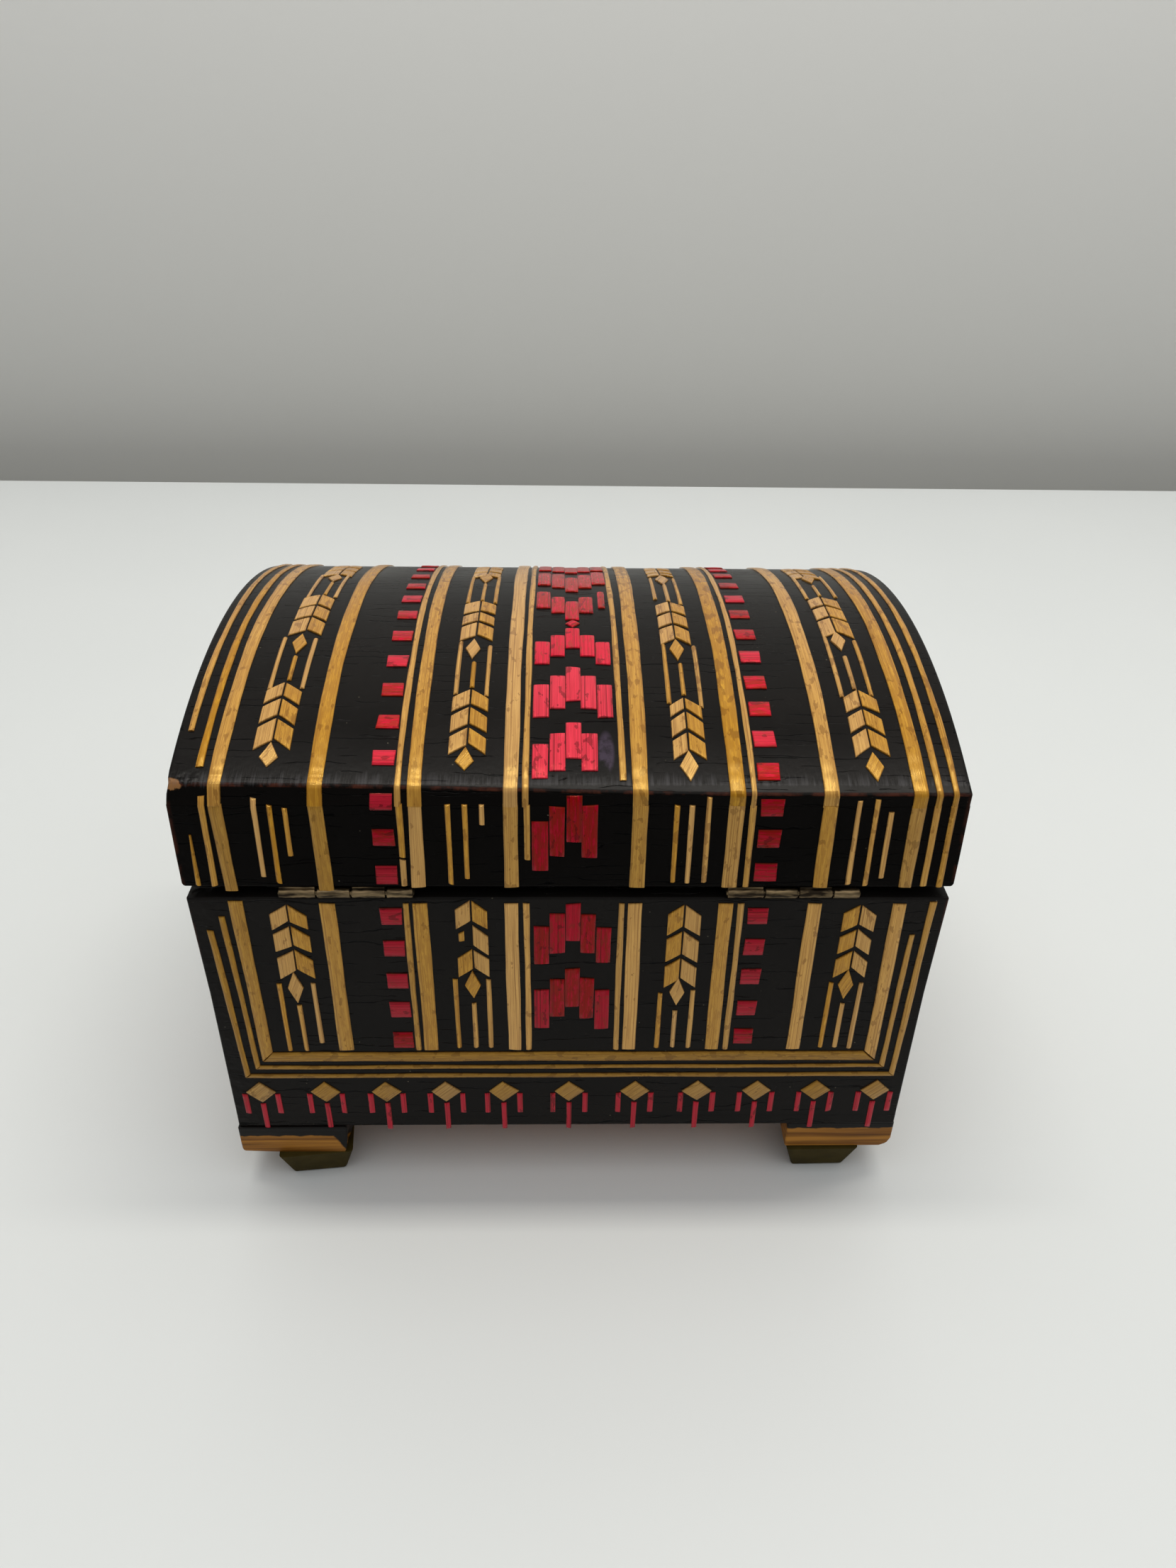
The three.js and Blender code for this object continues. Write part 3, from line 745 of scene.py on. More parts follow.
def straw_finish(name, light, dark, spot, faded, sheen, gloss_level, paleness):
    """Split straw. Its UV map is in millimetres, along the fibres and across them: fine streaks and
    a few long dark fibres run along it, with brown blots, and its edges are darker, partly with glue
    and partly as painted shade."""
    finish, shader = new_finish(name)
    fibres = add(finish, "UVMap", uv_map="fibres")
    tone, shade, stain, rim = (
        add(finish, "Attribute", attribute_name=kept).outputs["Fac"]
        for kept in ("tone", "shade", "stain", "rim"))
    run = add(finish, "Mapping", {"Vector": fibres, "Scale": (1 / fibre_run, 1 / fibre_gap, 1.0)})
    streaks = add(finish, "TexNoise", {
        "Vector": run, "Scale": 1.0, "Detail": 4.0, "Roughness": 0.6}, noise_dimensions="2D")
    strong = add(finish, "MapRange", {"Value": streaks, "From Min": 0.22, "From Max": 0.74})
    tint = add(finish, "Mix", {0: strong, 6: dark, 7: light}, data_type="RGBA")
    # a few dark fibres run the whole length of a piece
    run = add(finish, "Mapping", {"Vector": fibres, "Scale": (0.004, 1.3, 1.0)})
    lines = add(finish, "TexNoise", {"Vector": run, "Scale": 1.0, "Detail": 1.0}, noise_dimensions="2D")
    lines = add(finish, "Math", {0: lines, 1: 0.5}, operation="SUBTRACT")
    lines = add(finish, "Math", {0: lines}, operation="ABSOLUTE")
    lines = add(finish, "MapRange", {
        "Value": lines, "From Min": 0.004, "From Max": 0.028, "To Min": 0.7, "To Max": 0.0})
    tint = add(finish, "Mix", {0: lines, 6: tint, 7: spot}, data_type="RGBA")
    # fading and dirt drift along the fibres, over more of a piece the higher its tone
    run = add(finish, "Mapping", {"Vector": fibres, "Scale": (0.28, 1.5, 1.0)})
    fade = add(finish, "TexNoise", {
        "Vector": run, "Scale": 1.0, "Detail": 3.0, "Roughness": 0.6}, noise_dimensions="2D")
    fade = add(finish, "Math", {0: tone, 1: 0.32, 2: fade}, operation="MULTIPLY_ADD")
    fade = add(finish, "MapRange", {"Value": fade, "From Min": 0.70, "From Max": 0.79, "To Max": 0.6})
    tint = add(finish, "Mix", {0: fade, 6: tint, 7: faded}, data_type="RGBA")
    # brown blots with sharp outlines, where glue or varnish soaked in: 3 mm by 1.5 mm
    run = add(finish, "Mapping", {"Vector": fibres, "Location": (50, 50, 0), "Scale": (0.30, 0.62, 1.0)})
    blots = add(finish, "TexNoise", {"Vector": run, "Scale": 1.0, "Detail": 3.0}, noise_dimensions="2D")
    least = add(finish, "Math", {0: stain, 1: -0.2, 2: 0.72}, operation="MULTIPLY_ADD")
    most = add(finish, "Math", {0: least, 1: 0.012}, operation="ADD")
    blots = add(finish, "MapRange", {"Value": blots, "From Min": least, "From Max": most, "To Max": 0.6})
    tint = add(finish, "Mix", {0: blots, 6: tint, 7: spot}, data_type="RGBA")
    # the lower its tone, the paler the straw
    strength = add(finish, "MapRange", {"Value": tone, "To Min": 1 - paleness, "To Max": 1.06})
    # partly painted shade: the shade attribute darkens whole pieces, for their own darker straw and for
    # less light and sheen where they lie
    tint = add(finish, "HueSaturation", {"Color": tint, "Saturation": strength, "Value": shade})
    # glue and painted shade: the straw's sides and loose ends are darkened
    glue_and_edge_shade = add(finish, "Math", {0: rim, 1: 0.5}, operation="MULTIPLY")
    tint = add(finish, "Mix", {0: glue_and_edge_shade, 6: tint, 7: "3a2410"}, data_type="RGBA")
    gloss = add(finish, "MapRange", {"Value": streaks, "To Min": 0.26, "To Max": 0.12})
    bump = add(finish, "Bump", {"Height": streaks, "Distance": 0.00012, "Strength": 0.6})
    plug(shader, {
        "Base Color": tint, "Roughness": gloss, "Normal": bump, "Specular Tint": sheen,
        "Specular IOR Level": gloss_level,
    })
    return finish


golden_straw = straw_finish("golden_rye_straw", light="d7a042", dark="a36c24", spot="7c4a14",
                            faded="a5702c", sheen="ffd878", gloss_level=0.95, paleness=0.14)
crimson_straw = straw_finish("crimson_dyed_straw", light="ea1e41", dark="bd102d", spot="560d15",
                             faded="963a26", sheen="ff6a5e", gloss_level=0.5, paleness=0.04)


def upright(x0, x1, t0, t1, lean=0.0):
    """A piece with its fibres along t: its corners at the start left and right, then the end right
    and left. Its end stands over by lean."""
    return [(x0, t0), (x1, t0), (x1 + lean, t1), (x0 + lean, t1)]


def level_piece(x0, x1, t0, t1):
    """A piece with its fibres along x."""
    return [(x0, t1), (x0, t0), (x1, t0), (x1, t1)]


def kernels_of(ear_x, left, right, pairs, gap):
    """The kernels of a wheat ear, a pair for each top and bottom. A kernel's sides are upright: the
    inner one, at the ear's middle line, starts at the top; the outer one starts lower by the drop
    and ends at the bottom. A gap is left above the next pair."""
    found = []
    for number, (top, bottom) in enumerate(pairs):
        for outer, drop, inner in ((left, 2.3, ear_x - 0.15), (right, 2.8, ear_x + 0.15)):
            inner_end, outer_end = bottom + drop, bottom
            if number + 1 < len(pairs):
                inner_end = pairs[number + 1][0] + gap
                outer_end = max(bottom, inner_end - drop)
            found.append([(inner, inner_end), (outer, outer_end), (outer, top - drop), (inner, top)])
    return found


def lozenge(x, top, bottom, half, waist=0.5):
    """A four-cornered diamond with its fibres on a slant. Its side corners stand at waist."""
    side = bottom + (top - bottom) * waist
    return [(x, top), (x + half, side), (x, bottom), (x - half, side)]


def lay_straw(name, surface, corners, body, finish, seed, rise=straw_rise, stations=8, crown=0.06,
              tones=None, wobble=steady, shade=1.0, stain=None, tucked=False, painted_fold_shade_past=None):
    """Lays a batch of flat straw pieces on a surface. A piece is spanned between its four corners,
    evenly in both directions. Its cross-section is a closed loop: sunk under the lacquer, upright at
    its sides, bevelled, and crowned over the middle. The loops follow each other along the fibres at
    the stations, lower at both ends unless the ends are tucked against another straw. Sines make its
    sides wander, and its ends are cut slightly off square. Where a piece bends over a fold, its
    loops crowd towards the ends by a cosine, and past that t it is darkened by a painted shade."""
    chance = np.random.default_rng(seed)
    corners = np.array(corners, float)
    count = len(corners)
    first, second, third, fourth = (corners[:, i] for i in range(4))
    # a piece whose corners run the other way round is turned over, so that it faces outwards
    one_way, other_way = first - third, second - fourth
    flip = (one_way[:, 0] * other_way[:, 1] < one_way[:, 1] * other_way[:, 0])[:, None]
    first, second = np.where(flip, second, first), np.where(flip, first, second)
    third, fourth = np.where(flip, fourth, third), np.where(flip, third, fourth)
    length = np.linalg.norm((third + fourth - first - second) / 2, axis=1)
    width = np.linalg.norm((second + third - first - fourth) / 2, axis=1)
    end = np.minimum(straw_bevel / np.maximum(length, 0.1), 0.2)[:, None]
    inner = np.linspace(0, 1, stations)[None]
    if painted_fold_shade_past:
        inner = 0.5 - 0.5 * np.cos(math.pi * inner)
    u = np.concatenate([np.zeros((count, 1)), end + (1 - 2 * end) * inner, np.ones((count, 1))], 1)
    side = np.minimum(straw_bevel / np.maximum(width, 0.1), 0.25)[:, None]
    v = np.concatenate([
        np.zeros((count, 2)), side, np.full((count, 1), 0.3), np.full((count, 1), 0.5),
        np.full((count, 1), 0.7), 1 - side, np.ones((count, 2))], 1)
    profile = np.array([0.0, 0.55, 0.9, 1 + crown * 0.8, 1 + crown, 1 + crown * 0.8, 0.9, 0.55, 0.0])
    rows, loop = u.shape[1], v.shape[1]
    u = np.repeat(u[:, :, None], loop, 2)
    v = np.repeat(v[:, None], rows, 1)
    # height: the loop's profile, waving slowly along the piece
    phase = chance.uniform(0, 2 * math.pi, (count, 6, 1, 1))
    millimetres = u * length[:, None, None]
    wave = 1 + 0.07 * np.sin(0.35 * millimetres + phase[:, 0])
    wave += 0.05 * np.sin(1.7 * millimetres + phase[:, 1])
    at_end = np.ones(rows)
    at_end[[0, -1]] = 1.0 if tucked else 0.55
    high = rise * profile * at_end[:, None] * wave
    high = np.where(profile == 0, -straw_sink, high)
    # outline: both sides wander together and apart, and the ends are cut off square by a little
    drift = np.sin(0.14 * millimetres + phase[:, 2]) + 0.35 * np.sin(0.6 * millimetres + phase[:, 3])
    pinch = np.sin(0.2 * millimetres + phase[:, 4])
    moved = wobble * (0.5 * drift + (v - 0.5) * pinch) / width[:, None, None]
    skew = chance.normal(0, 0.07, (count, 2, 1, 1)) / np.maximum(length, 0.5)[:, None, None, None]
    slip = (v - 0.5) * (skew[:, 0] * (1 - u) + skew[:, 1] * u) * 2
    u_cut, v_cut = u + slip, v + moved
    low_edge = first[:, None, None] * (1 - v_cut[..., None]) + second[:, None, None] * v_cut[..., None]
    high_edge = fourth[:, None, None] * (1 - v_cut[..., None]) + third[:, None, None] * v_cut[..., None]
    flat = low_edge * (1 - u_cut[..., None]) + high_edge * u_cut[..., None]
    points = surface(flat[..., 0], flat[..., 1], high).reshape(-1, 3)
    piece_start = (np.arange(count) * rows * loop)[:, None, None]
    row_start = (np.arange(rows - 1) * loop)[None, :, None]
    here = np.arange(loop)[None, None]
    after = (np.arange(loop) + 1)[None, None] % loop
    quads = np.stack([
        piece_start + row_start + here, piece_start + row_start + after,
        piece_start + row_start + loop + after, piece_start + row_start + loop + here], -1).reshape(-1, 4)
    start_caps = (np.arange(count) * rows * loop)[:, None] + np.arange(loop)[::-1]
    end_caps = (np.arange(count) * rows * loop + (rows - 1) * loop)[:, None] + np.arange(loop)
    faces = quads.tolist() + start_caps.tolist() + end_caps.tolist()
    piece = mesh_of(name, points, faces, [finish])
    mesh = piece.data
    offset = chance.uniform(0, 400, (count, 2, 1, 1))
    along_fibres = (millimetres + offset[:, 0]).ravel()
    across_fibres = (v * width[:, None, None] + offset[:, 1]).ravel()
    corner_points = np.empty(len(mesh.loops), np.int32)
    mesh.loops.foreach_get("vertex_index", corner_points)
    both_ways = np.stack([along_fibres, across_fibres], 1)[corner_points]
    fibres = mesh.uv_layers.new(name="fibres")
    fibres.data.foreach_set("uv", both_ways.ravel().astype(np.float32))
    tones = chance.uniform(0, 1, count) if tones is None else np.array(tones, float)
    stain = chance.uniform(0, 0.7, count) if stain is None else stain
    shade = np.broadcast_to(shade, count) * (1.06 - 0.12 * tones)
    # painted shade: past the fold the straw is made a quarter darker
    painted_fold_shade = 1 - 0.25 * (np.abs(flat[..., 1]) > (painted_fold_shade_past or np.inf))
    low_rim = (profile < 0.6)[None, None] | (at_end < 1)[None, :, None]
    for kept, values in (("tone", tones[:, None, None]), ("shade", shade[:, None, None] * painted_fold_shade),
                         ("stain", np.broadcast_to(stain, count)[:, None, None]), ("rim", low_rim)):
        layer = mesh.attributes.new(kept, "FLOAT", "POINT")
        layer.data.foreach_set("value", np.broadcast_to(values, u.shape).ravel().astype(np.float32))
    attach(piece, body)
    return piece


pattern_base = 14.5
back_face, front_face = 54.5, -55.5


def back_wall(x, t, rise):
    """The back wall's face, seen from behind: x runs to the right and t up from the base."""
    return np.stack([-x, back_face + rise, t + pattern_base], -1)


wall_low, wall_high = 26.3, 66.6
wide = [upright(x0, x1, wall_low, wall_high) for x0, x1 in (
    (-49.3, -46.2), (-31.1, -28.1), (-13.1, -10.3), (11.3, 14.2), (29.2, 32.1), (46.9, 49.8))]
wide += [
    [(-66.2, 23.0), (-63.7, 25.7), (-64.1, 67.2), (-66.9, 67.2)],
    [(64.2, 25.7), (66.8, 23.0), (66.7, 66.5), (63.9, 66.5)],
    [(-63.7, 25.6), (-66.2, 22.9), (66.6, 22.9), (64.0, 25.6)],
]
# the shades here are partly the straw's own tone and partly painted shade
lay_straw("back_wall_wide_straws", back_wall, wide, "base", golden_straw, 11, stations=26, wobble=loose,
          tones=[0.6, 0.7, 0.1, 0.2, 0.6, 0.3, 0.7, 0.3, 0.8],
          shade=[0.82, 0.86, 1.04, 1.04, 0.88, 1.0, 0.72, 0.98, 0.55],
          stain=[0.2, 0.2, 0.1, 0.1, 0.3, 0.3, 0.3, 0.5, 0.6])
thin = [upright(x0, x1, wall_low, wall_high) for x0, x1 in (
    (-33.0, -31.8), (-9.3, -8.1), (9.4, 10.6), (33.1, 34.3))]
thin += [
    [(-70.6, 17.9), (-69.4, 19.1), (-70.8, 59.7), (-72.2, 59.7)],
    [(-68.0, 20.5), (-66.9, 21.5), (-68.1, 63.3), (-69.3, 63.3)],
    [(68.0, 21.6), (69.2, 20.6), (69.6, 58.5), (68.5, 58.5)],
    [(70.6, 19.0), (71.9, 17.8), (72.6, 67.0), (71.2, 67.0)],
    [(-66.9, 21.6), (-68.0, 20.5), (69.2, 20.6), (68.0, 21.6)],
    [(-69.4, 19.0), (-70.6, 17.8), (71.9, 17.8), (70.6, 19.0)],
]
lay_straw("back_wall_thin_straws", back_wall, thin, "base", golden_straw, 12, rise=thin_rise, stations=26,
          crown=0.15, wobble=loose, tones=[0.6, 0.3, 0.3, 0.3, 0.9, 0.9, 0.5, 0.5, 0.7, 0.7],
          shade=[0.75, 1.05, 0.85, 0.85, 0.65, 0.65, 0.8, 0.8, 0.54, 0.5])
kernels, stems, diamonds = [], [], []
for inner, left, right, pairs, diamond, stalks in (
    (-55.7, -59.3, -52.1, ((66.2, 59.8), (60.9, 54.0), (54.6, 46.8)), (-56.5, 48.8, 40.0),
     ((-59.8, 45.5, 26.2), (-56.3, 39.5, 26.2), (-52.8, 45.6, 28.5))),
    (-19.7, -22.9, -16.5, ((67.3, 60.0), (61.0, 53.0), (54.7, 47.2)), (-20.0, 49.0, 41.2),
     ((-23.6, 46.7, 27.0), (-20.0, 40.0, 27.0), (-16.8, 46.6, 27.0))),
    (22.6, 19.4, 26.0, ((66.2, 58.2), (59.5, 51.0), (52.3, 44.2)), (22.3, 47.0, 39.2),
     ((18.8, 42.7, 26.8), (22.2, 37.7, 27.0), (25.6, 43.5, 26.8))),
    (57.7, 54.4, 61.0, ((66.3, 59.3), (60.0, 53.3), (54.2, 47.0)), (57.4, 49.3, 40.8),
     ((54.3, 45.6, 26.8), (57.4, 39.7, 26.8), (60.6, 45.5, 26.5))),
):
    kernels += kernels_of(inner, left, right, pairs, 1.2)
    diamonds.append(lozenge(*diamond, 1.65))
    stems += [upright(x - 0.5, x + 0.5, bottom, top) for x, top, bottom in stalks]
# of one kernel, the second ear's third, only a splinter is left
del kernels[8]
kernels.append([(-22.4, 56.8), (-21.3, 57.0), (-21.3, 59.5), (-22.4, 58.9)])
lay_straw("back_wall_wheat_kernels", back_wall, kernels + diamonds, "base", golden_straw, 13, shade=0.92,
          tones=np.resize([0.15, 0.75], len(kernels + diamonds)))
lay_straw("back_wall_wheat_stems", back_wall, stems, "base", golden_straw, 14, rise=thin_rise, stations=12,
          crown=0.3)
squares = [level_piece(-37.6, -33.3, low, high) for high, low in (
    (65.5, 61.2), (57.1, 52.9), (48.3, 44.2), (40.3, 36.0), (31.5, 27.0))]
squares += [level_piece(35.2, 39.3, low, high) for high, low in (
    (65.4, 61.4), (57.4, 53.2), (49.3, 45.2), (40.4, 36.3), (32.3, 28.0))]
lay_straw("back_wall_red_squares", back_wall, squares, "base", crimson_straw, 15,
          tones=[0.3, 0.3, 0.3, 0.2, 0.9, 0.4, 0.3, 0.2, 0.3, 0.7], shade=0.5)
bar_edges = ((-7.4, -4.3), (-4.2, -1.1), (-1.0, 2.0), (2.0, 5.0), (5.2, 8.2))
bars = [upright(x0, x1, low, high) for (x0, x1), (high, low) in zip(bar_edges * 2, (
    (60.7, 50.8), (64.0, 53.7), (66.5, 57.0), (63.8, 53.8), (60.4, 51.2),
    (43.7, 32.8), (46.6, 36.1), (49.5, 38.9), (46.9, 35.6), (43.6, 32.5)))]
lay_straw("back_wall_red_steps", back_wall, bars, "base", crimson_straw, 16,
          tones=[0.9, 0.6, 0.5, 0.9, 0.7, 0.4, 0.9, 0.9, 1.0, 0.5], shade=0.52)
row_places = (-67.95, -53.8, -40.4, -27.2, -14.5, 0.0, 14.6, 28.5, 41.7, 55.0, 68.4)
lay_straw("back_wall_row_lozenges", back_wall, [lozenge(x, 16.5, 10.2, 3.3) for x in row_places],
          "base", golden_straw, 17, shade=0.6)
legs = []
for x in row_places:
    legs += [upright(x - 4.2, x - 3.0, 6.5, 12.7), upright(x + 3.0, x + 4.2, 6.5, 12.7),
             upright(x - 0.6, x + 0.6, 1.2, 9.7)]
lay_straw("back_wall_red_legs", back_wall, legs, "base", crimson_straw, 18, rise=leg_rise,
          tones=[0.2] * len(legs), shade=0.6)


# The straw on the lid's back rail: split rye straw as on the wall, whose strips it carries on up to
# the fold. Some strips and one red bar are broken or lost.
rail_top, rail_height, seat_over = 103.65, 18.45, 3.0
rail_back_face, rail_front_face = 54.7, -55.7
fold_top = 89.4


def lean_at(t):
    """How far a rail's face has leaned in at t: evenly, by the whole lean at the rail's top."""
    return (t + pattern_base - rail_top + rail_height) * rail_lean / rail_height


def back_rail(x, t, rise):
    """The back rail's face, leaning in, and above it the edge of the bent panel, which runs in with
    the fold."""
    run_in = skew_at(-x) * np.clip((t + pattern_base - rail_top) / seat_over, 0, 1)
    return np.stack([-x, rail_back_face - lean_at(t) - run_in + rise, t + pattern_base], -1)


fold_places = ((-67.5, -65.0), (-49.2, -46.3), (-30.6, -28.0), (-12.8, -10.0), (11.4, 14.4), (29.5, 32.5),
               (47.3, 50.1), (64.1, 66.8))
rail_places = ((-66.8, -64.3), (-48.7, -45.9), (-30.8, -28.1), (-12.9, -10.1), (11.4, 14.4), (29.4, 32.4),
               (47.3, 50.1), (64.1, 66.7))
wide = [[(x0, low), (x1, low), (over_x1, fold_top), (over_x0, fold_top)]
        for (x0, x1), (over_x0, over_x1), low in zip(rail_places, fold_places, [70.0] * 2 + [70.9] * 6)]
lay_straw("back_rail_wide_straws", back_rail, wide, "lid", golden_straw, 21, stations=16, wobble=loose,
          tucked=True, shade=[0.64, 0.64, 0.9, 0.8, 0.76, 0.82, 0.84, 0.68],
          tones=[0.6, 0.7, 0.1, 0.4, 0.6, 0.3, 0.7, 0.4])
thin = [
    upright(-69.3, -68.1, 71.2, 90.6), upright(68.3, 69.6, 71.2, fold_top),
    upright(71.5, 72.7, 71.0, fold_top),
    [(-72.3, 71.3), (-71.4, 71.3), (-71.5, 82.7), (-71.9, 82.7)],
    upright(-32.8, -31.6, 71.2, 77.2), upright(-32.8, -31.6, 77.8, fold_top),
    upright(-9.0, -7.8, 77.3, fold_top), upright(33.5, 34.7, 71.0, fold_top),
]
lay_straw("back_rail_thin_straws", back_rail, thin, "lid", golden_straw, 22, rise=thin_rise, stations=16,
          crown=0.15, tucked=True, tones=[0.6, 0.5, 0.7, 0.9, 0.1, 0.8, 0.5, 0.5], shade=0.88)
stems = [upright(x - 0.5, x + 0.5, low, high) for x, low, high in (
    (-59.1, 73.2, 90.3), (-56.2, 71.8, 89.2), (-53.4, 78.0, 88.6), (-23.2, 71.5, fold_top),
    (-20.0, 72.8, fold_top), (-16.8, 85.0, fold_top), (19.8, 72.0, fold_top), (22.6, 71.8, fold_top),
    (25.8, 72.0, 91.2), (54.1, 71.5, 90.5), (57.5, 71.2, 90.8), (60.4, 73.0, 88.0))]
lay_straw("back_rail_wheat_stems", back_rail, stems, "lid", golden_straw, 23, rise=thin_rise, stations=12,
          crown=0.3)
squares = [level_piece(-37.6, -33.4, low, high) for high, low in ((91.2, 88.2), (84.0, 80.3), (75.7, 71.5))]
squares += [level_piece(35.5, 39.9, low, high) for high, low in ((90.8, 87.0), (84.0, 80.0), (76.4, 72.3))]
lay_straw("back_rail_red_squares", back_rail, squares, "lid", crimson_straw, 24, shade=0.5)
bars = [upright(x0, x1, low, high) for x0, x1, high, low in (
    (-7.5, -4.4, 85.8, 74.7), (-4.2, -1.3, 89.0, 78.0), (-1.0, 2.0, 91.2, 81.2), (1.9, 5.0, 89.3, 77.7))]
lay_straw("back_rail_red_steps", back_rail, bars, "lid", crimson_straw, 25,
          tones=[0.8, 0.9, 0.95, 0.9], shade=0.5)


# The straw on the dome: split rye straw, bent wet over the lid from fold to fold. Between the long
# strips lie wheat ears, red squares and stepped red figures. In these tables t is the length over
# the lid from its top, less than 0 towards the hinges.
# the dome's straw bears a painted shade where it turns down past the fold's edge
fold_at, painted_fold_shade_from = 58.5, 55.3
edge_depth = 2.6

# the outside of the lid across Y, as a path: the arc, the round of the fold, and the rail's slope
edge_y = dome_half - rail_lean
arc = np.linspace(0, math.asin((edge_y - fold_softness) / dome_radius), 60)
turn = np.linspace(0, math.pi / 2, 12)[1:]
slope = np.linspace(0, 1, 20)
round_y = edge_y - fold_softness * (1 - np.sin(turn))
round_share = 1 - fold_softness / panel_thickness * (1 - np.cos(turn))
round_z = seat + round_share * (arch(shift_y + round_y, dome_radius) - seat)
path_y = np.concatenate([dome_radius * np.sin(arc), round_y, edge_y + rail_lean * slope])
path_z = np.concatenate([dome_centre + dome_radius * np.cos(arc), round_z, rail_top - rail_height * slope])
path_at = np.concatenate([[0], np.cumsum(np.hypot(np.diff(path_y), np.diff(path_z)))])

# the same path where the panel is fully askew: near the fold it is set in by the skew, and its height
# over the rail's top changes by the ratio of the arch's heights there
above_rail = path_z - rail_top
skewed_y = path_y - fold_skew * near_fold(path_y) * np.clip(above_rail / edge_depth, 0, 1)
arch_height = arch(shift_y + np.minimum(path_y, panel_half), dome_radius) - rail_top
skewed_arch_height = arch(shift_y + skewed_y, dome_radius) - rail_top
askew = (above_rail > 0.01) & (path_y >= panel_half - fold_reach)
skewed_z = np.where(askew, rail_top + above_rail * skewed_arch_height / arch_height, path_z)
straight_and_skewed = [
    (path_y, skewed_y), (path_z, skewed_z),
    (np.gradient(path_y, path_at), np.gradient(skewed_y, path_at)),
    (np.gradient(path_z, path_at), np.gradient(skewed_z, path_at)),
]


def dome(x, t, rise):
    """The lid's face. A point is at its length t along the path, between the straight path and the
    skewed one by the skew at x, and rise goes out at a right angle to it."""
    far = np.abs(t)
    skew = np.where(t < 0, skew_at(-x) / fold_skew, 0)
    at_y, at_z, turn_y, turn_z = (
        (1 - skew) * np.interp(far, path_at, straight) + skew * np.interp(far, path_at, skewed)
        for straight, skewed in straight_and_skewed)
    out_y, out_z = at_y - rise * turn_z, at_z + rise * turn_y
    return np.stack([-x, shift_y - np.sign(t) * out_y, out_z], -1)


dome_places = ((-67.2, -64.5), (-49.2, -46.1), (-30.8, -28.0), (-13.0, -10.0), (11.0, 14.3), (29.3, 32.5),
               (47.0, 50.2), (63.9, 66.9))
wide = [[(over_x0, -fold_at), (over_x1, -fold_at), (x1, fold_at), (x0, fold_at)]
        for (x0, x1), (over_x0, over_x1) in zip(dome_places, fold_places)]
lay_straw("dome_wide_straws", dome, wide, "lid", golden_straw, 31, stations=140, wobble=loose,
          tucked=True, stain=[0.4, 0.3, 0.5, 0.3, 0.65, 0.8, 0.6, 0.5], painted_fold_shade_past=painted_fold_shade_from)
thin = [
    upright(-73.4, -72.2, -41.3, fold_at), upright(-70.2, -68.8, -50.0, fold_at),
    upright(-33.0, -31.8, -fold_at, fold_at), upright(-9.2, -8.0, -fold_at, fold_at),
    upright(9.0, 10.2, -53.0, fold_at, lean=-0.9), upright(33.5, 34.6, -fold_at, fold_at),
    upright(68.3, 69.6, -fold_at, fold_at), upright(71.5, 72.7, -fold_at, fold_at),
]
lay_straw("dome_thin_straws", dome, thin, "lid", golden_straw, 32, rise=thin_rise, stations=140, crown=0.15,
          tucked=True, painted_fold_shade_past=painted_fold_shade_from, tones=[0.5, 1.0, 0.4, 0.4, 0.5, 0.3, 0.7, 0.7], wobble=loose)
kernels, stems = [], []
for inner, left, right, pairs in (
    (-56.9, -60.3, -53.3, ((-27.7, -35.2), (-32.5, -40.0), (-38.0, -46.0))),
    (-56.0, -59.5, -52.5, ((9.5, 0.8), (3.0, -5.0), (-3.0, -11.2))),
    (-55.2, -58.7, -51.8, ((44.0, 36.0), (38.5, 30.5), (33.0, 25.0))),
    (-19.9, -23.4, -16.3, ((-29.5, -36.0), (-34.7, -41.5), (-40.2, -47.0))),
    (-19.9, -23.3, -16.4, ((6.4, -1.0), (0.0, -6.5), (-5.0, -13.0))),
    (-19.8, -23.1, -16.5, ((43.5, 36.0), (37.5, 30.0), (31.5, 24.5))),
    (22.4, 19.4, 25.7, ((-31.7, -38.5), (-35.8, -43.2), (-41.2, -48.2))),
    (22.1, 18.9, 25.3, ((6.5, -1.0), (0.5, -7.0), (-5.7, -14.0))),
    (21.9, 18.7, 25.0, ((43.5, 36.5), (37.8, 31.0), (32.0, 27.0))),
    (57.5, 54.2, 60.9, ((-29.2, -35.8), (-34.8, -41.8), (-40.0, -47.2))),
    (57.0, 53.7, 60.4, ((10.2, 2.0), (4.5, -3.5), (-1.7, -11.0))),
    (56.8, 53.5, 60.2, ((44.0, 36.5), (38.2, 30.8), (32.5, 25.5))),
):
    kernels += kernels_of(inner, left, right, pairs, 0.95)
kernels += [lozenge(x, top, bottom, half, waist) for x, top, bottom, half, waist in (
    (-57.1, -43.9, -50.0, 1.8, 0.38), (-56.5, -10.3, -18.0, 1.6, 0.5), (-55.4, 27.2, 19.8, 1.6, 0.5),
    (-20.2, -45.0, -50.8, 1.8, 0.40), (-20.3, -12.0, -19.7, 1.6, 0.5), (-19.8, 29.5, 19.5, 1.6, 0.5),
    (22.3, -45.8, -53.2, 1.8, 0.5), (22.1, -11.7, -19.8, 1.6, 0.5), (21.9, 29.2, 18.8, 1.6, 0.5),
    (57.6, -46.0, -53.0, 1.8, 0.5), (56.7, -8.0, -16.0, 1.6, 0.5), (57.3, 30.5, 21.0, 1.6, 0.5))]
lay_straw("dome_wheat_kernels", dome, kernels, "lid", golden_straw, 33,
          tones=np.resize([0.15, 0.75], len(kernels)))
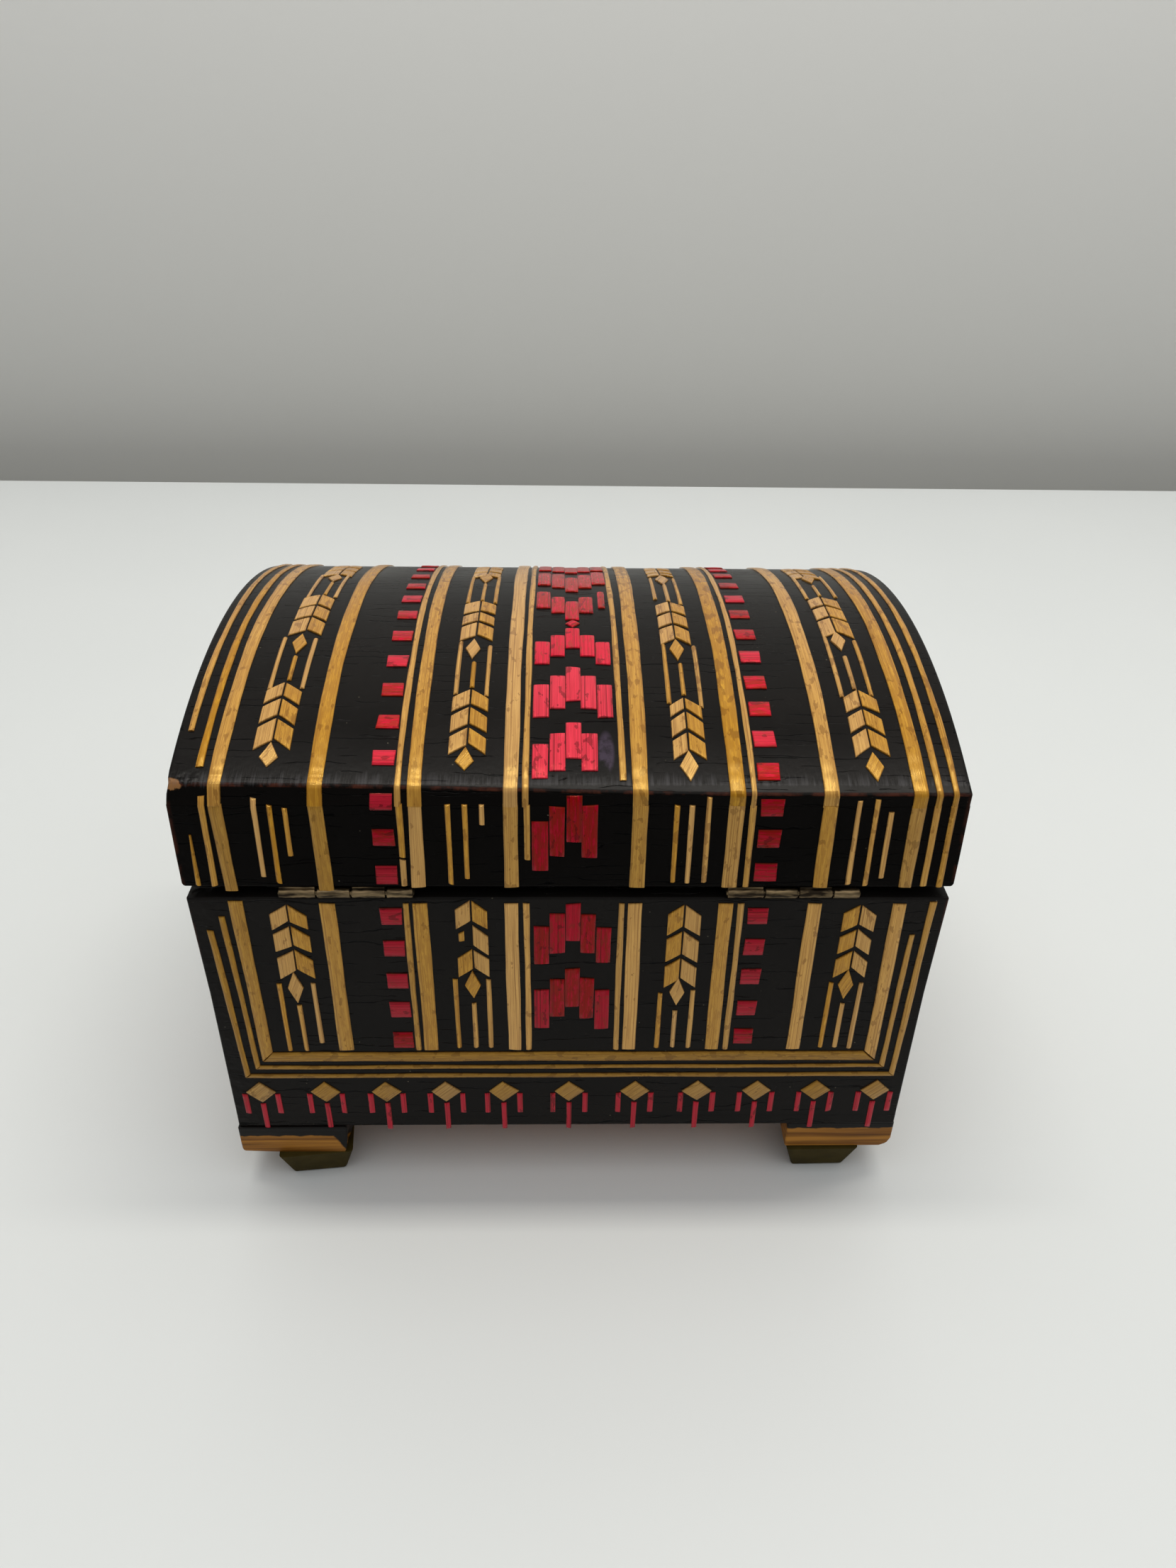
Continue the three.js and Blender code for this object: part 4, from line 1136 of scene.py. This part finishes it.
for x, top, bottom in (
    (-59.8, -12.0, -29.8), (-56.4, -19.0, -27.0), (-53.4, -12.3, -29.5),
    (-58.8, 26.0, 7.5), (-55.3, 19.0, 9.7), (-52.7, 26.0, 8.0),
    (-22.9, -13.3, -31.0), (-19.8, -20.7, -29.0), (-16.8, -14.8, -31.5),
    (-22.8, 26.0, 5.0), (-19.6, 18.5, 6.5), (-16.7, 26.0, 5.0),
    (19.4, -14.0, -33.5), (22.4, -20.8, -31.0), (25.7, -14.5, -34.5),
    (19.2, 25.0, 8.0), (22.1, 19.0, 7.0), (24.7, 25.0, 5.0),
    (54.1, -10.7, -31.3), (57.0, -18.0, -29.0), (60.1, -12.0, -31.0),
    (53.9, 27.0, 9.0), (57.2, 19.0, 11.0), (60.6, 28.0, 10.0),
):
    stems.append(upright(x - 0.45, x + 0.45, bottom, top))
lay_straw("dome_wheat_stems", dome, stems, "lid", golden_straw, 34, rise=thin_rise, stations=12, crown=0.3)
squares = [level_piece(-37.6, -33.3, s - half, s + half) for s, half in (
    (-47.7, 1.75), (-38.7, 1.8), (-29.6, 1.9), (-20.4, 1.9), (-10.9, 1.9), (-1.4, 1.9), (7.5, 1.9),
    (16.5, 1.9), (26.0, 1.9), (36.5, 1.9), (46.5, 1.9))]
squares += [level_piece(35.0, 39.3, s - 2.0, s + 2.0) for s in (
    -50.7, -42.8, -34.8, -26.9, -18.3, -9.6, -0.1, 8.7, 18.8, 29.2, 38.6, 48.0)]
lay_straw("dome_red_squares", dome, squares, "lid", crimson_straw, 35, tones=([0.3, 0.8, 0.9] * 8)[:23],
          shade=[0.92] * 5 + [0.8] * 6 + [0.92] * 5 + [0.8] * 7)
bar_edges = ((-7.5, -4.4), (-4.2, -1.2), (-1.1, 1.9), (1.9, 5.0), (5.1, 8.2))
steps = (
    (-52.7, -44.3), (-50.7, -41.6), (-47.8, -38.8), (-50.7, -41.6), None,
    (-37.4, -28.0), (-35.0, -25.2), (-32.8, -22.3), (-35.0, -25.2), (-37.4, -28.0),
    (-21.3, -13.2), (-18.5, -10.5), (-15.5, -7.5), (-18.5, -10.5), (-21.3, -13.2),
    (2.5, 12.5), (0.0, 9.0), (-3.5, 6.3), (0.0, 9.0), None,
    (18.0, 30.5), (16.0, 29.0), (13.0, 24.7), (15.8, 28.3), (19.0, 32.0),
    (35.5, 46.0), (33.5, 44.0), (31.5, 42.0), (33.5, 44.0), (35.5, 46.0),
)
bars = [upright(x0, x1, *span) for (x0, x1), span in zip(bar_edges * 6, steps) if span]
bars += [upright(6.1, 7.7, 2.7, 12.7), lozenge(0.4, -3.5, -7.0, 1.6)]
nearness = np.array([np.mean([corner[1] for corner in bar]) for bar in bars])
lay_straw("dome_red_steps", dome, bars, "lid", crimson_straw, 36, tones=np.clip(0.75 + nearness / 40, 0, 1),
          shade=np.clip(0.9 - nearness / 300, 0.88, 1.05))


# The straw on the hidden sides: the same split rye straw. It repeats the back's pattern more plainly,
# with strips, a frame, red squares, stepped red figures, small ears of wheat and the lozenges.
end_strips = ((-39.5, -36.6), (-15.6, -12.7), (12.7, 15.6), (36.6, 39.5))
end_squares = (-27.0, 27.0)
front_squares, front_ears, front_figure = (-37.2, 35.4), (-57.2, -22.0, 19.7, 55.5), -0.4
# the hidden sides' straw is darkened as on the back, partly painted shade
row_end, plain_shade, red_shade, red_rise = 6.8, 0.88, 0.6, 0.3
rim_t = 67.9


def front_wall(x, t, rise):
    """The front wall's face, seen from the front."""
    return np.stack([x, front_face - rise, t + pattern_base], -1)


def front_rail(x, t, rise):
    """The front rail's face, which leans in like the back one."""
    return np.stack([x, rail_front_face + lean_at(t) - rise, t + pattern_base], -1)


def end_face(side, away, drawn_in=0.0):
    """The face of one end, away mm out from the middle, seen from outside. It is drawn in below the
    rim as the walls are."""
    def face(x, t, rise):
        out = away + rise - drawn_in * np.clip((rim_t - t) / wear_height, 0, 1)
        return np.stack([side * out, side * x + shift_y, t + pattern_base], -1)
    return face


def figure(x, top):
    """A stepped figure of five upright bars about x, the middle one highest."""
    return [upright(x + 3.15 * k - 1.5, x + 3.15 * k + 1.5, top - 10 - 2.9 * abs(k), top - 2.9 * abs(k))
            for k in range(-2, 3)]


def square_of(x, t, half=2.0):
    """A red square about x and t, 4.2 mm wide. It reaches up and down from t by half."""
    return level_piece(x - 2.1, x + 2.1, t - half, t + half)


def wheat(x, top):
    """A whole ear about x: three pairs of kernels, a lozenge, and three stalks."""
    pairs = [(top - down, top - down - 7) for down in (0, 6.1, 12.2)]
    laid = kernels_of(x, x - 3.4, x + 3.4, pairs, 1.1)
    laid.append(lozenge(x, top - 17.3, top - 25.6, 1.65))
    laid += [upright(x + k - 0.5, x + k + 0.5, 27.0, top - 20.6 - 5.7 * (k == 0)) for k in (-3.4, 0, 3.4)]
    return laid


def frame_of(half_width):
    """Three nested bars and uprights around a face that reaches half_width to both sides."""
    found = []
    for inset, low, wide, top in ((8.6, 22.9, 2.7, 67.0), (5.7, 20.5, 1.15, 65.0), (3.2, 17.9, 1.2, 62.0)):
        x = half_width - inset
        found += [
            [(-x, low), (-x + wide, low + wide), (-x + wide, top), (-x, top)],
            [(x - wide, low + wide), (x, low), (x, top), (x - wide, top)],
            [(-x + wide, low + wide), (-x, low), (x, low), (x - wide, low + wide)]]
    return found


front_places = [(-x1, -x0) for x0, x1 in dome_places[::-1]]
for side_name, surface, half_width, strips, squares_x, ears, figure_x, seed in (
    ("front_wall", front_wall, 75.0, front_places[1:7], front_squares, front_ears, front_figure, 50),
    ("left_wall", end_face(-1, 75.0, end_wear), 55.0, end_strips, end_squares, (), 0.0, 49),
    ("right_wall", end_face(1, 75.0, end_wear), 55.0, end_strips, end_squares, (), 0.0, 51),
):
    row = np.linspace(row_end - half_width, half_width - row_end, int(half_width / row_end))
    gold = [upright(x0, x1, wall_low, wall_high) for x0, x1 in strips] + frame_of(half_width)
    gold += [piece for x in ears for piece in wheat(x, 66.4)]
    gold += [lozenge(x, 16.5, 10.2, 3.3) for x in row]
    red = [square_of(x, t, 2.1) for x in squares_x for t in (63.3, 55.0, 46.5, 38.1, 29.8)]
    red += figure(figure_x, 66.4) + figure(figure_x, 49.4)
    red += [upright(x + k - 0.6, x + k + 0.6, 6.5 - 5.3 * (k == 0), 12.7 - 3.0 * (k == 0))
            for x in row for k in (-3.6, 0, 3.6)]
    lay_straw(side_name + "_golden_straws", surface, gold, "base", golden_straw, seed, stations=16,
              shade=plain_shade)
    lay_straw(side_name + "_red_straws", surface, red, "base", crimson_straw, seed + 20, stations=5,
              rise=red_rise, shade=red_shade)

gold = [upright(x0, x1, 70.9, fold_top) for x0, x1 in front_places]
gold += [upright(-x1, -x0, 71.0, fold_top) for x0, x1 in (
    (-73.4, -72.2), (-70.2, -68.8), (-33.0, -31.8), (-9.2, -8.0), (33.5, 34.6), (68.3, 69.6), (71.5, 72.7))]
lay_straw("front_rail_golden_straws", front_rail, gold, "lid", golden_straw, 81, stations=16,
          shade=plain_shade, tucked=True)
gold = [upright(x + k - 0.5, x + k + 0.5, 72.0, 90.0) for x in front_ears for k in (-3.2, 0, 3.2)]
lay_straw("front_rail_wheat_stems", front_rail, gold, "lid", golden_straw, 80, stations=12,
          shade=plain_shade)
red = figure(front_figure, 91.0) + [square_of(x, t) for x in front_squares for t in (88.6, 81.5, 73.8)]
lay_straw("front_rail_red_straws", front_rail, red, "lid", crimson_straw, 82, stations=5,
          rise=red_rise, shade=red_shade)

# the lid's ends: strips up to the bent panel, a thin one that follows its arch, and one more figure
thin_width, below_panel, below_thin = 1.2, 1.5, 2.6
for side_name, side in (("lid_left_end", -1), ("lid_right_end", 1)):
    surface = end_face(side, 75.2)
    crown_at = dome_radius - panel_thickness - below_panel
    gold = []
    for x0, x1 in end_strips + ((-50.6, -49.0), (49.0, 50.6)):
        tops = arch(shift_y + np.array([x0, x1]), crown_at - below_thin) - pattern_base
        gold.append([(x0, 71.2), (x1, 71.2), (x1, tops[1]), (x0, tops[0])])
    bends = np.linspace(-50.6, 50.6, 21)
    arcs = arch(shift_y + bends, crown_at) - pattern_base
    gold += [[(b, q), (a, p), (a, p - thin_width), (b, q - thin_width)]
             for a, b, p, q in zip(bends[:-1], bends[1:], arcs[:-1], arcs[1:])]
    lay_straw(side_name + "_golden_straws", surface, gold, "lid", golden_straw, 84 + side, stations=12,
              wobble=0.0, shade=plain_shade)
    red = figure(0.0, 94.0) + [square_of(x, t) for x in end_squares for t in (87.9, 80.9, 73.9)]
    lay_straw(side_name + "_red_straws", surface, red, "lid", crimson_straw, 88 + side, stations=5,
              rise=red_rise, shade=red_shade)


# The bounds of the finished model's shown parts.
low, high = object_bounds()
